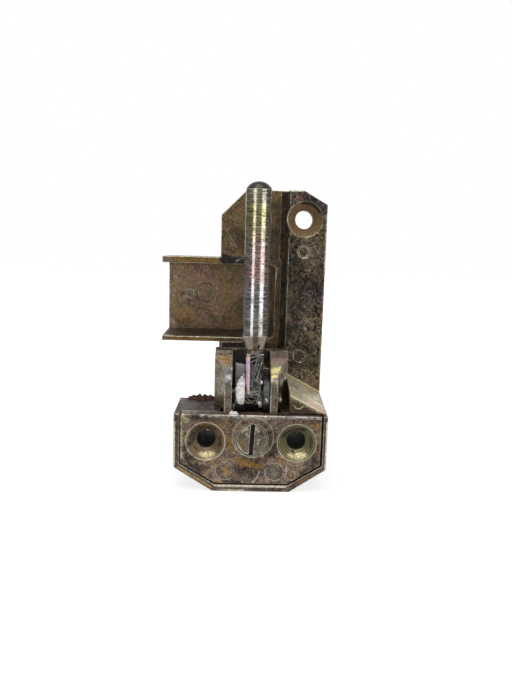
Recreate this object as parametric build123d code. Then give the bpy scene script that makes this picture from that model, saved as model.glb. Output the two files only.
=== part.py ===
from build123d import *
import os

# Frame-side corner hinge of a tilt-and-turn window, in millimetres.
# Origin on the upright pin's axis at the foot of its cylinder, +Z up, +X to the right,
# +Y into the window frame, so that the front faces look along -Y.

# Upright pin
pin_radius = 3.25
pin_length = 35.7
dome_height = 2.0
dome_shoulder_rise = 0.72
dome_shoulder_width = 0.62
cone_height = 3.4
cone_foot_radius = 2.36
neck_height = 0.8
neck_groove_depth = 0.14
neck_groove_width = 0.2
neck_groove_count = 2
shank_width = 4.5
shank_thickness = 6.5
shank_corner_chamfer = 0.6

# Cross axle that the pin tilts on
tilt_drop = 15.45
axle_radius = 2.0
axle_clearance = 0.05
axle_end_recess = 0.3
axle_blind_wall = 1.3

# Spacers on the axle
spacer_radius = 4.6
spacer_side_gap = 0.1
spacer_left_play = 0.65
spacer_edge_radius = 0.25

# Fork
fork_centre_x = -0.7
fork_gap = 9.6
ear_front_thickness = 1.85
ear_back_flare = 2.75
ear_front_y = -5.0
ear_knee_z = -10.9
ear_knee_radius = 4.0
ear_flare_start_y = -4.3
ear_flare_end_y = 2.6
ear_flare_sag = 0.75
fork_back_y = 8.0
fork_top_z = -4.5
fork_top_land = 2.4
back_web_thickness = 2.3
stop_wall_thickness = 2.2
stop_gap = 0.2
stop_top_z = -8.0
stop_slope_drop = 1.2
stop_wall_ear_gap = 0.75
flare_cut_z = -12.2
flare_cut_slope = 1.4
lower_ear_limit = 7.4
foot_half_width = 6.5
foot_bottom_z = -29.6
foot_play = 0.2
foot_corner_radius = 1.0
cradle_radius = 5.0
fork_seat_gap = 0.15

# Side adjustment: eccentric screw and the slot it works in
screw_x = -0.25
screw_z = -25.3
screw_head_radius = 3.9
screw_head_height = 1.25
screw_head_gap = 0.12
screw_head_chamfer = 0.2
screw_neck_recess = 0.1
screw_neck_radius = 2.3
screw_slot_width = 1.1
screw_slot_depth = 0.8
screw_slot_tilt = -3.0
eccentric_throw = 1.2
eccentric_radius = 1.05
eccentric_length = 2.3
eccentric_gap = 0.12
eccentric_slot_length = 5.8
clip_radius = 3.4
clip_thickness = 0.8
clip_gap = 0.05
clip_groove_depth = 0.4
clip_mouth = 3.0
side_travel = 1.0

# Box casting: a hexagon seen from the front
box_left = -19.6
box_right = 18.4
box_top = -19.0
box_bottom = -38.6
box_corner_z = -32.6
box_bottom_left = -9.9
box_bottom_right = 9.35
box_front_y = -6.7
box_back_y = 10.0
box_floor = 1.8
box_top_wall = 1.8
box_corner_radius = 1.2
rim_left = 1.4
rim_right = 1.0
rim_bottom = 1.65
ledge = 1.4
rim_corner_rise = 0.55
rim_corner_inset = 0.4
neck_cut_overlap = 0.5

# Cover that closes the box
cover_thickness = 3.3
cover_gap_left = 0.2
cover_gap_right = 0.4
cover_gap_bottom = 0.3
cover_edge_radius = 0.35
cover_screw_spacing = 22.6
cover_screw_mid_x = -0.4
cover_screw_z = -25.85
screw_hole_radius = 2.25
countersink_radius = 4.8
cover_boss_radius = 3.3
turned_ring_radius = 5.1
turned_ring_depth = 0.12
turned_ring_x = 0.0
turned_ring_z = -24.6
clip_pocket_depth = 1.2
clip_pocket_gap = 0.2

# Rivets low on the cover
rivet_left_x = -6.8
rivet_right_x = 5.5
rivet_z = -33.35
rivet_radius = 2.0
rivet_hole_gap = 0.14
rivet_fit = 0.02
rivet_boss_radius = 2.9
rivet_tail_wall = 0.6
rivet_chamfer = 0.15

# Back plate
plate_left = -9.5
plate_top = 36.9
plate_chamfer = 6.7
plate_front_y = 13.0
plate_thickness = 3.0
plate_foot_z = -20.2
plate_foot_slope_z = -23.2

# Raised strip at the right, with its screw hole
strip_left = 8.3
strip_right = 18.3
strip_rise = 2.6
strip_chamfer_x = 6.3
strip_chamfer_z = 3.5
groove_left = 6.3
groove_depth = 0.8
strip_hole_x = 12.5
strip_hole_z = 29.5
strip_hole_radius = 2.45
strip_countersink_radius = 4.65
strip_boss_radius = 4.9
mark_width = 0.3
mark_depth = 0.15
upper_mark_z = 21.2
upper_mark_radius = 1.65
lower_mark_z = -6.8
lower_mark_radius = 1.75
casting_edge = 0.35
casting_overlap = 1.0

# Trough that runs to the left behind the pin
arm_left = -25.1
trough_top = 17.3
trough_bottom = -2.6
top_flange = 1.7
bottom_flange = 1.2
trough_right = 5.3
trough_right_wall = 1.5
trough_depth = 15.5
trough_web = 2.0
trough_corner = 1.3
trough_draft = 1.3
trough_open_end = 4.0
arm_mark_x = -14.1
arm_mark_z = 8.4
arm_mark_radius = 2.9

# Gusset between the box and the strip
gusset_left = 9.0
gusset_front_y = -5.0
gusset_top_z = -14.0
gusset_fall = 0.53
gusset_back_rise = 2.0
gusset_cover_gap = 0.35

# How far a cut runs past the face that it opens
cut_past = 1.0

# Values that follow from the sizes above
tilt_z = -tilt_drop
shank_front_y = -shank_thickness / 2
plate_back_y = plate_front_y + plate_thickness
strip_front_y = plate_front_y - strip_rise
trough_web_y = plate_front_y + trough_depth
cover_back_y = box_front_y + cover_thickness
floor_y = box_back_y - box_floor
foot_front_y = cover_back_y + foot_play
ear_inner_left = fork_centre_x - fork_gap / 2
ear_inner_right = fork_centre_x + fork_gap / 2
ear_half_width = fork_gap / 2 + ear_front_thickness + ear_back_flare
axle_left_end = ear_inner_left - ear_front_thickness - ear_back_flare / 2 + axle_blind_wall
fork_foot_top = box_top + fork_seat_gap
screw_neck_foot_y = cover_back_y - screw_neck_recess
cover_screws = [cover_screw_mid_x + side * cover_screw_spacing / 2 for side in (-1, 1)]


def slab(points, y_front, y_back):
    """Extrudes an outline of (x, z) points from y_front to y_back."""
    outline = Polyline([(x, y_front, z) for x, z in points], close=True)
    return extrude(make_face(outline), amount=y_back - y_front, dir=(0, 1, 0))


def block(x_range, y_range, z_range):
    """A box between the given limits."""
    (x0, x1), (y0, y1), (z0, z1) = x_range, y_range, z_range
    return slab([(x0, z0), (x1, z0), (x1, z1), (x0, z1)], y0, y1)


def rod_y(x, z, radius, y_front, y_back):
    """A round bar along Y."""
    centre = Plane(origin=(x, y_front, z), x_dir=(1, 0, 0), z_dir=(0, 1, 0))
    return extrude(centre * Circle(radius), amount=y_back - y_front)


def rod_x(y, z, radius, x_left, x_right):
    """A round bar along X."""
    centre = Plane(origin=(x_left, y, z), x_dir=(0, 1, 0), z_dir=(1, 0, 0))
    return extrude(centre * Circle(radius), amount=x_right - x_left)


def countersunk_hole(x, z, face_y, hole_radius, head_radius, y_back):
    """The space of a countersunk screw that enters at face_y."""
    depth = head_radius - hole_radius
    cone = Cone(head_radius, hole_radius, depth, align=(Align.CENTER, Align.CENTER, Align.MIN))
    cone = Plane(origin=(x, face_y, z), x_dir=(1, 0, 0), z_dir=(0, 1, 0)) * cone
    return cone + rod_y(x, z, hole_radius, face_y, y_back)


def ring_mark(x, z, face_y, radius):
    """The shallow ring that an ejector pin leaves on a cast face."""
    outer = rod_y(x, z, radius, face_y - cut_past, face_y + mark_depth)
    return outer - rod_y(x, z, radius - mark_width, face_y - cut_past, face_y + mark_depth)


def hexagon(left, right, bottom, top):
    """The box outline, moved in by the four given distances."""
    corner_shift = bottom * rim_corner_rise
    return [
        (box_left + left, box_top - top),
        (box_left + left, box_corner_z + corner_shift),
        (box_bottom_left + left * rim_corner_inset, box_bottom + bottom),
        (box_bottom_right - right * rim_corner_inset, box_bottom + bottom),
        (box_right - right, box_corner_z + corner_shift),
        (box_right - right, box_top - top),
    ]


def back_plate():
    """Plate, raised strip with its screw boss, and the groove between them."""
    plate = slab(
        [
            (plate_left, plate_foot_z),
            (strip_right, plate_foot_z),
            (strip_right, plate_top - strip_chamfer_z),
            (strip_right - strip_chamfer_x, plate_top),
            (plate_left + plate_chamfer, plate_top),
            (plate_left, plate_top - plate_chamfer),
        ],
        plate_front_y,
        plate_back_y,
    )
    strip = slab(
        [
            (strip_left, plate_foot_z),
            (strip_right, plate_foot_z),
            (strip_right, plate_top - strip_chamfer_z),
            (strip_right - strip_chamfer_x, plate_top),
            (strip_left, plate_top),
        ],
        strip_front_y,
        plate_front_y,
    )
    strip += rod_y(strip_hole_x, strip_hole_z, strip_boss_radius, strip_front_y, plate_front_y)
    strip = fillet(strip.faces().sort_by(Axis.Y)[0].edges(), casting_edge)
    groove = block(
        (groove_left, strip_left),
        (plate_front_y, plate_front_y + groove_depth),
        (box_top, plate_top + cut_past),
    )
    return plate - groove + strip


def trough_body():
    """The outer walls of the trough, which is hollowed later."""
    return block(
        (arm_left, trough_right + trough_right_wall),
        (plate_front_y, trough_web_y + trough_web),
        (trough_bottom - bottom_flange, trough_top + top_flange),
    )


def trough_hollow():
    """The trough's open space, with draft towards its web and rounded right corners."""
    middle_x = (arm_left - trough_open_end + trough_right) / 2
    middle_z = (trough_bottom + trough_top) / 2
    mouth = Plane(origin=(middle_x, plate_front_y, middle_z), x_dir=(1, 0, 0), z_dir=(0, 1, 0))
    width = trough_right - arm_left + trough_open_end
    outline = mouth * RectangleRounded(width, trough_top - trough_bottom, trough_corner)
    return extrude(outline, amount=trough_depth, taper=trough_draft)


def gusset():
    """The sloping web between the box's top and the strip."""
    def section(y, top):
        fall = gusset_fall * (box_right - gusset_left)
        return make_face(
            Polyline(
                [
                    (gusset_left, y, box_top - box_top_wall),
                    (box_right, y, box_top - box_top_wall),
                    (box_right, y, top - fall),
                    (gusset_left, y, top),
                ],
                close=True,
            )
        )

    web = loft([
        section(gusset_front_y, gusset_top_z),
        section(plate_front_y, gusset_top_z + gusset_back_rise),
    ])
    over_cover = block(
        (gusset_left - cut_past, box_right - rim_right),
        (gusset_front_y - cut_past, cover_back_y + ledge),
        (box_top - box_top_wall - cut_past, box_top + gusset_cover_gap),
    )
    return web - over_cover


def box_shell():
    """The box that the cover closes: rim, ledge, cavity and the bosses for the rivets."""
    shell = slab(hexagon(0, 0, 0, 0), box_front_y, box_back_y)
    lower_corners = shell.edges().filter_by(Axis.Y).sort_by(Axis.Z)[0:4]
    shell = fillet(lower_corners, box_corner_radius)
    shell = fillet(shell.faces().sort_by(Axis.Y)[-1].edges(), casting_edge)
    recess = slab(hexagon(rim_left, rim_right, rim_bottom, -cut_past), box_front_y - cut_past, cover_back_y)
    cavity = slab(
        hexagon(rim_left + ledge, rim_right + ledge, rim_bottom + ledge, box_top_wall),
        cover_back_y,
        floor_y,
    )
    shell = shell - recess - cavity
    for x in (rivet_left_x, rivet_right_x):
        shell += rod_y(x, rivet_z, rivet_boss_radius, cover_back_y, floor_y)
    return shell


def plate_foot():
    """The cast step that carries the plate on the back of the box."""
    depth_line = [
        (plate_left, box_back_y - casting_overlap, box_top),
        (plate_left, plate_back_y, box_top),
        (plate_left, plate_back_y, plate_foot_z),
        (plate_left, box_back_y - casting_overlap, plate_foot_slope_z),
    ]
    profile = make_face(Polyline(depth_line, close=True))
    return extrude(profile, amount=strip_right - plate_left, dir=(1, 0, 0))


def frame_housing():
    """The one casting that is screwed to the window frame."""
    body = back_plate() + trough_body() + plate_foot() + box_shell() + gusset()
    body -= trough_hollow()
    neck_side = foot_half_width + side_travel + foot_play
    body -= block(
        (fork_centre_x - neck_side, fork_centre_x + neck_side),
        (cover_back_y - neck_cut_overlap, floor_y),
        (box_top - box_top_wall - cut_past, box_top + cut_past),
    )
    body -= countersunk_hole(
        strip_hole_x,
        strip_hole_z,
        strip_front_y,
        strip_hole_radius,
        strip_countersink_radius,
        plate_back_y + cut_past,
    )
    for x in cover_screws:
        body -= rod_y(x, cover_screw_z, screw_hole_radius, floor_y - cut_past, plate_back_y + cut_past)
    for x in (rivet_left_x, rivet_right_x):
        body -= rod_y(x, rivet_z, rivet_radius + rivet_fit, box_front_y, box_back_y - rivet_tail_wall)
    body -= ring_mark(strip_hole_x, upper_mark_z, strip_front_y, upper_mark_radius)
    body -= ring_mark(strip_hole_x, lower_mark_z, strip_front_y, lower_mark_radius)
    body -= ring_mark(arm_mark_x, arm_mark_z, trough_web_y, arm_mark_radius)
    return body


def front_cover():
    """The cover plate, with a tube behind each screw hole and the seat of the adjusting screw."""
    outline = hexagon(
        rim_left + cover_gap_left, rim_right + cover_gap_right, rim_bottom + cover_gap_bottom, 0
    )
    plate = slab(outline, box_front_y, cover_back_y)
    plate = fillet(plate.edges().filter_by(Axis.Y), cover_edge_radius)
    plate = fillet(plate.faces().sort_by(Axis.Y)[0].edges(), cover_edge_radius)
    for x in cover_screws:
        plate += rod_y(x, cover_screw_z, cover_boss_radius, cover_back_y, floor_y)
    for x in cover_screws:
        plate -= countersunk_hole(
            x, cover_screw_z, box_front_y, screw_hole_radius, countersink_radius, floor_y + cut_past
        )
    for x in (rivet_left_x, rivet_right_x):
        plate -= rod_y(
            x, rivet_z, rivet_radius + rivet_hole_gap, box_front_y - cut_past, cover_back_y + cut_past
        )
    seat = box_front_y + screw_head_height + axle_clearance
    plate -= rod_y(screw_x, screw_z, screw_head_radius + screw_head_gap, box_front_y - cut_past, seat)
    plate -= rod_y(screw_x, screw_z, screw_neck_radius + axle_clearance, box_front_y, cover_back_y + cut_past)
    pocket_y = cover_back_y - clip_pocket_depth
    plate -= rod_y(screw_x, screw_z, clip_radius + clip_pocket_gap, pocket_y, cover_back_y + cut_past)
    turned_y = box_front_y + turned_ring_depth
    plate -= rod_y(turned_ring_x, turned_ring_z, turned_ring_radius, box_front_y - cut_past, turned_y)
    return plate


def ear_plan(side):
    """One ear seen from above: straight at the front, flared to its full width at the back."""
    inner = fork_centre_x + side * fork_gap / 2
    front = inner + side * ear_front_thickness
    back = front + side * ear_back_flare
    sag_y = (ear_flare_start_y + ear_flare_end_y) / 2
    sag_x = (front + back) / 2 - side * ear_flare_sag
    edge = [
        Line((inner, fork_back_y), (inner, ear_front_y)),
        Line((inner, ear_front_y), (front, ear_front_y)),
        Line((front, ear_front_y), (front, ear_flare_start_y)),
        ThreePointArc((front, ear_flare_start_y), (sag_x, sag_y), (back, ear_flare_end_y)),
        Line((back, ear_flare_end_y), (back, fork_back_y)),
        Line((back, fork_back_y), (inner, fork_back_y)),
    ]
    return Pos(0, 0, fork_foot_top) * make_face(edge)


def ear_side():
    """The fork's side view: upright front, rounded knee, sloping top and a flat land at the back."""
    knee = [
        (ear_front_y, fork_foot_top),
        (ear_front_y, ear_knee_z),
        (fork_back_y - fork_top_land, fork_top_z),
        (fork_back_y, fork_top_z),
        (fork_back_y, fork_foot_top),
    ]
    left = fork_centre_x - ear_half_width - cut_past
    outline = make_face(Polyline([(left, y, z) for y, z in knee], close=True))
    blank = extrude(outline, amount=2 * (ear_half_width + cut_past), dir=(1, 0, 0))
    edges = blank.edges().filter_by(Axis.X).group_by(Axis.Y)[0].sort_by(Axis.Z)
    return fillet(edges[-1], ear_knee_radius)


def ears():
    """Both ears and the walls that join them behind the pin."""
    height = fork_top_z - fork_foot_top
    plan = extrude(ear_plan(-1), amount=height, dir=(0, 0, 1))
    plan += extrude(ear_plan(1), amount=height, dir=(0, 0, 1))
    web = block(
        (fork_centre_x - ear_half_width, fork_centre_x + ear_half_width),
        (fork_back_y - back_web_thickness, fork_back_y),
        (fork_foot_top, fork_top_z),
    )
    past_ear = fork_centre_x + ear_half_width + cut_past
    flare_limit = block(
        (lower_ear_limit, past_ear),
        (ear_front_y - cut_past, fork_back_y + cut_past),
        (fork_foot_top - cut_past, flare_cut_z),
    )
    slope = [
        (lower_ear_limit, flare_cut_z),
        (past_ear, flare_cut_z),
        (past_ear, flare_cut_z + flare_cut_slope),
    ]
    flare_limit += slab(slope, ear_front_y - cut_past, fork_back_y + cut_past)
    return (plan + web) & ear_side() - flare_limit


def stop_wall():
    """The wall behind the shank that the pin leans against when it stands upright."""
    front = shank_thickness / 2 + stop_gap
    left = ear_inner_left + stop_wall_ear_gap
    return slab(
        [
            (left, fork_foot_top),
            (ear_inner_right, fork_foot_top),
            (ear_inner_right, stop_top_z - stop_slope_drop),
            (left, stop_top_z),
        ],
        front,
        front + stop_wall_thickness,
    )


def tilt_fork():
    """The casting that carries the pin and slides sideways in the box."""
    foot = block(
        (fork_centre_x - foot_half_width, fork_centre_x + foot_half_width),
        (foot_front_y, floor_y - foot_play),
        (foot_bottom_z, fork_foot_top),
    )
    foot = fillet(foot.edges().filter_by(Axis.Y).sort_by(Axis.Z)[0:2], foot_corner_radius)
    body = ears() + stop_wall() + foot
    cradle = rod_x(0, tilt_z, cradle_radius, ear_inner_left, ear_inner_right)
    stop_half = shank_width / 2
    cradle -= block(
        (-stop_half, stop_half),
        (shank_thickness / 2 + stop_gap, fork_back_y),
        (tilt_z - cradle_radius - cut_past, tilt_z + cradle_radius + cut_past),
    )
    body -= cradle
    body -= rod_x(0, tilt_z, axle_radius, axle_left_end, fork_centre_x + ear_half_width + cut_past)
    slot_half = eccentric_radius + eccentric_gap
    slot_back_y = screw_neck_foot_y + eccentric_length + foot_play
    body -= block(
        (screw_x - slot_half, screw_x + slot_half),
        (foot_front_y - cut_past, slot_back_y),
        (screw_z - eccentric_slot_length / 2, screw_z + eccentric_slot_length / 2),
    )
    return body


def sash_pin():
    """Dome, cylinder, cone, grooved neck and flat shank, turned and milled from one steel bar."""
    dome_mid = (pin_radius * dome_shoulder_width, 0, pin_length + dome_height * dome_shoulder_rise)
    neck_top = -cone_height
    neck_foot = neck_top - neck_height
    profile = [
        ThreePointArc((0, 0, pin_length + dome_height), dome_mid, (pin_radius, 0, pin_length)),
        Polyline(
            [
                (pin_radius, 0, pin_length),
                (pin_radius, 0, 0),
                (cone_foot_radius, 0, neck_top),
                (cone_foot_radius, 0, neck_foot),
                (0, 0, neck_foot),
                (0, 0, pin_length + dome_height),
            ]
        ),
    ]
    turned = revolve(make_face(profile), Axis.Z)
    step = neck_height / neck_groove_count
    for count in range(neck_groove_count):
        middle = neck_top - step * (count + 0.5)
        ring = Pos(0, 0, middle) * (
            Cylinder(pin_radius, neck_groove_width)
            - Cylinder(cone_foot_radius - neck_groove_depth, neck_groove_width)
        )
        turned -= ring
    half = shank_width / 2
    shank = block((-half, half), (shank_front_y, -shank_front_y), (tilt_z, neck_foot))
    shank = chamfer(shank.edges().filter_by(Axis.Z), shank_corner_chamfer)
    shank += rod_x(0, tilt_z, shank_thickness / 2, -half, half)
    shank -= rod_x(0, tilt_z, axle_radius + axle_clearance, -half - cut_past, half + cut_past)
    return turned + shank


def tilt_axle():
    """The cross pin through both ears, the spacers and the shank."""
    right_end = ear_inner_right + ear_front_thickness
    return rod_x(0, tilt_z, axle_radius, axle_left_end, right_end - axle_end_recess)


def spacer(x_left, x_right):
    """A nylon washer on the axle that fills the gap between an ear and the shank."""
    ring = rod_x(0, tilt_z, spacer_radius, x_left + spacer_side_gap, x_right - spacer_side_gap)
    ring = fillet(ring.edges(), spacer_edge_radius)
    return ring - rod_x(0, tilt_z, axle_radius + axle_clearance, x_left, x_right)


def adjusting_screw():
    """Slotted head flush with the cover, a neck with a groove for the clip, and the eccentric stub."""
    head_back = box_front_y + screw_head_height
    screw = rod_y(screw_x, screw_z, screw_head_radius, box_front_y, head_back)
    screw = chamfer(screw.faces().sort_by(Axis.Y)[0].edges(), screw_head_chamfer)
    screw += rod_y(screw_x, screw_z, screw_neck_radius, head_back, screw_neck_foot_y)
    groove_front, groove_back = clip_groove()
    screw -= rod_y(screw_x, screw_z, screw_neck_radius + cut_past, groove_front, groove_back) - rod_y(
        screw_x, screw_z, screw_neck_radius - clip_groove_depth, groove_front, groove_back
    )
    stub_foot = screw_neck_foot_y + eccentric_length
    screw += rod_y(screw_x, screw_z + eccentric_throw, eccentric_radius, screw_neck_foot_y, stub_foot)
    half = screw_slot_width / 2
    reach = screw_head_radius + cut_past
    slot = block((-half, half), (box_front_y - cut_past, box_front_y + screw_slot_depth), (-reach, reach))
    return screw - Pos(screw_x, 0, screw_z) * Rot(0, -screw_slot_tilt, 0) * slot


def clip_groove():
    """Front and back of the groove that the clip sits in."""
    middle = cover_back_y - clip_pocket_depth / 2
    half = clip_thickness / 2 + clip_gap
    return middle - half, middle + half


def screw_clip():
    """The open ring that holds the adjusting screw behind the cover."""
    groove_front, groove_back = clip_groove()
    front, back = groove_front + clip_gap, groove_back - clip_gap
    inner = screw_neck_radius - clip_groove_depth + clip_gap
    ring = rod_y(screw_x, screw_z, clip_radius, front, back)
    ring -= rod_y(screw_x, screw_z, inner, front - cut_past, back + cut_past)
    mouth = block(
        (screw_x - clip_mouth / 2, screw_x + clip_mouth / 2),
        (front - cut_past, back + cut_past),
        (screw_z - clip_radius - cut_past, screw_z),
    )
    return ring - mouth


def cover_rivet(x):
    """A plain pin, flush with the cover, set in its boss in the box."""
    pin = rod_y(x, rivet_z, rivet_radius, box_front_y, box_back_y - rivet_tail_wall)
    return chamfer(pin.edges(), rivet_chamfer)


nodes = {
    "frame_housing": frame_housing(),
    "front_cover": front_cover(),
    "tilt_fork": tilt_fork(),
    "sash_pin": sash_pin(),
    "tilt_axle": tilt_axle(),
    "spacer_left": spacer(ear_inner_left + spacer_left_play, -shank_width / 2),
    "spacer_right": spacer(shank_width / 2, ear_inner_right),
    "adjusting_screw": adjusting_screw(),
    "screw_clip": screw_clip(),
    "cover_rivet_left": cover_rivet(rivet_left_x),
    "cover_rivet_right": cover_rivet(rivet_right_x),
}

os.makedirs("parts", exist_ok=True)
for name, shape in nodes.items():
    export_step(shape, f"parts/{name}.step")
    print(name, len(shape.solids()), "solid,", round(shape.volume), "mm3")
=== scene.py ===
import math
import random

import bpy
from mathutils import Matrix, Vector, noise


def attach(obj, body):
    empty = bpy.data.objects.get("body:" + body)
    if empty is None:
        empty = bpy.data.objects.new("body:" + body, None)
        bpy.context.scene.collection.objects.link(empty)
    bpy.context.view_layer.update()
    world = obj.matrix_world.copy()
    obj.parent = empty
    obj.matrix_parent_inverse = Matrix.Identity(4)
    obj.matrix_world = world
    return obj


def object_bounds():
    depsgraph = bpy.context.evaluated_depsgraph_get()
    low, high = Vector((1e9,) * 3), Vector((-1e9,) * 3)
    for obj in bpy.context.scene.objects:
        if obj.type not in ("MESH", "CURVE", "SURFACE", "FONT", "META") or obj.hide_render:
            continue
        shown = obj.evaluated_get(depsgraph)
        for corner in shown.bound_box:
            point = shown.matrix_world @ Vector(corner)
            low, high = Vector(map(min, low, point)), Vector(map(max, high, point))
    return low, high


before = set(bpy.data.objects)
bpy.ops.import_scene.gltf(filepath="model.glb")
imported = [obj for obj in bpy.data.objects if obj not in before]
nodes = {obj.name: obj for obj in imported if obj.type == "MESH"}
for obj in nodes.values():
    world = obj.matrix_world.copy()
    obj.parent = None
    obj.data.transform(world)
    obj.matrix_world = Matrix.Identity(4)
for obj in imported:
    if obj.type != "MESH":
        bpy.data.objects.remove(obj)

# Dressing of a used window corner hinge: yellowed zinc castings, a turned steel pin, grease and rust.
# Lengths are millimetres in the model's own frame, and become metres where a mesh or a lamp is made.
cadBox = [list(corner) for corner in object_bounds()]
millimetre = 0.001

# places on the hinge that several pieces share
faceY = {"plate": 13.0, "strip": 10.4, "web": 28.5, "front": -6.7}
leftHole = (-11.7, faceY["front"], -25.85)
rightHole = (10.9, faceY["front"], -25.85)
sinkRadius = 4.85
pinRadius = 3.25
spacerRadius = 4.6
tiltZ = -15.45
boxTop = -19.0


def toMetres(point):
    return Vector(point) * millimetre


# Small helpers for shader trees. A noise's numbers are its scale, detail and roughness, a remap's are
# levels, and the others in a tree are shares, factors or millimetres.

def paint(red, green, blue):
    # a colour as a screen shows it, 0 to 255, as the linear values that shaders take
    parts = [part / 255 for part in (red, green, blue)]
    return tuple(part / 12.92 if part < 0.04 else ((part + 0.055) / 1.055) ** 2.4 for part in parts)


def plug(tree, socket, value):
    if isinstance(value, bpy.types.NodeSocket):
        tree.links.new(value, socket)
    elif socket.type == "RGBA":
        socket.default_value = (*value, 1.0)
    else:
        socket.default_value = value


def addNode(tree, kind, sockets=None, **settings):
    made = tree.nodes.new(kind)
    for name, value in settings.items():
        setattr(made, name, value)
    for name, value in (sockets or {}).items():
        plug(tree, made.inputs[name], value)
    return made


def calc(tree, operation, first, second=0.0):
    return addNode(tree, "ShaderNodeMath", {0: first, 1: second}, operation=operation).outputs[0]


def add(tree, first, second):
    return calc(tree, "ADD", first, second)


def subtract(tree, first, second):
    return calc(tree, "SUBTRACT", first, second)


def multiply(tree, first, second):
    return calc(tree, "MULTIPLY", first, second)


def clamp(tree, value, low, high):
    return calc(tree, "MINIMUM", calc(tree, "MAXIMUM", value, low), high)


def vectorCalc(tree, operation, first, second=(0, 0, 0), output="Vector"):
    made = addNode(tree, "ShaderNodeVectorMath", {0: first, 1: second}, operation=operation)
    return made.outputs[output]


def shifted(tree, vector, offset):
    return vectorCalc(tree, "ADD", vector, offset)


def stretched(tree, vector, sizes):
    return vectorCalc(tree, "MULTIPLY", vector, sizes)


def separate(tree, vector):
    return addNode(tree, "ShaderNodeSeparateXYZ", {"Vector": vector}).outputs


def remap(tree, value, low, high, start=0.0, end=1.0):
    sockets = {"Value": value, "From Min": low, "From Max": high, "To Min": start, "To Max": end}
    made = addNode(tree, "ShaderNodeMapRange", sockets, interpolation_type="SMOOTHSTEP")
    return made.outputs["Result"]


def mixColor(tree, factor, first, second, mode="MIX"):
    made = addNode(tree, "ShaderNodeMix", data_type="RGBA", blend_type=mode)
    for index, value in ((0, factor), (6, first), (7, second)):
        plug(tree, made.inputs[index], value)
    return made.outputs[2]


def shade(tree, color, lift):
    # the colour made darker or lighter by a number
    gray = addNode(tree, "ShaderNodeCombineColor", {0: lift, 1: lift, 2: lift}).outputs[0]
    return mixColor(tree, 1.0, color, gray, "MULTIPLY")


def noiseField(tree, vector, scale, detail=3.0, roughness=0.5):
    sockets = {"Vector": vector, "Scale": scale, "Detail": detail, "Roughness": roughness}
    return addNode(tree, "ShaderNodeTexNoise", sockets).outputs["Fac"]


def startGroup(name, inputs, outputs):
    # inputs and outputs list their labels by kind: "color", "point" or "number"
    tree = bpy.data.node_groups.new(name, "ShaderNodeTree")
    kinds = {"color": "NodeSocketColor", "point": "NodeSocketVector", "number": "NodeSocketFloat"}
    for side, sockets in (("INPUT", inputs), ("OUTPUT", outputs)):
        for kind, labels in sockets.items():
            for label in labels:
                tree.interface.new_socket(name=label, in_out=side, socket_type=kinds[kind])
    return tree, tree.nodes.new("NodeGroupInput").outputs, tree.nodes.new("NodeGroupOutput").inputs


# Effects that several materials share, each a group built once. The offsets keep the noises apart.

def makeSkinGroup():
    # a casting's skin: broad patches, mottle, grain and specks
    inputs = {
        "point": ["Vector"],
        "color": ["Base", "Dark", "Warm", "Bloom", "Pale"],
        "number": [
            "Patch Scale", "Grain Scale", "Dark Amount", "Warm Amount", "Bloom Amount",
            "Grain Amount", "Mottle Amount", "Speck Amount", "Pale Amount",
        ],
    }
    outputs = {"color": ["Color"], "number": ["Height", "Shine"]}
    tree, entry, leave = startGroup("castSkin", inputs, outputs)

    def patches(offset, scale, detail, roughness, low, high, amount):
        # spots of a noise between two levels, as strong as the input of that name
        field = noiseField(tree, shifted(tree, entry["Vector"], offset), scale, detail, roughness)
        return multiply(tree, remap(tree, field, low, high), entry[amount])

    spot = entry["Vector"]
    wide = multiply(tree, entry["Patch Scale"], 0.8)
    fine = multiply(tree, entry["Grain Scale"], 0.75)
    patch = noiseField(tree, spot, entry["Patch Scale"], 5.0, 0.62)
    grain = noiseField(tree, spot, entry["Grain Scale"], 3.0, 0.7)
    mottle = noiseField(tree, shifted(tree, spot, (2, 19, 8)), 0.75, 4.0, 0.65)
    darkMask = multiply(tree, remap(tree, patch, 0.52, 0.38), entry["Dark Amount"])
    warmMask = patches((31, 7, 13), wide, 5.0, 0.6, 0.48, 0.63, "Warm Amount")
    bloomMask = patches((-17, 23, 41), wide, 4.0, 0.55, 0.5, 0.64, "Bloom Amount")
    speckMask = patches((5, -9, 3), fine, 2.0, 0.6, 0.45, 0.37, "Speck Amount")
    paleMask = patches((-3, 11, -7), fine, 2.0, 0.65, 0.6, 0.7, "Pale Amount")
    color = mixColor(tree, warmMask, entry["Base"], entry["Warm"])
    color = mixColor(tree, bloomMask, color, entry["Bloom"])
    color = mixColor(tree, darkMask, color, entry["Dark"])
    swing = multiply(tree, subtract(tree, grain, 0.5), entry["Grain Amount"])
    sway = multiply(tree, subtract(tree, mottle, 0.5), entry["Mottle Amount"])
    swing = multiply(tree, add(tree, swing, sway), 5.0)
    color = shade(tree, color, calc(tree, "MAXIMUM", add(tree, swing, 1.0), 0.2))
    color = mixColor(tree, speckMask, color, entry["Dark"])
    plug(tree, leave["Color"], mixColor(tree, paleMask, color, entry["Pale"]))
    height = add(tree, grain, multiply(tree, mottle, 1.2))
    plug(tree, leave["Height"], subtract(tree, height, multiply(tree, speckMask, 0.35)))
    shine = remap(tree, patch, 0.35, 0.65, 0.08, -0.08)
    plug(tree, leave["Shine"], add(tree, shine, remap(tree, mottle, 0.3, 0.7, 0.12, -0.12)))
    return tree


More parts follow.
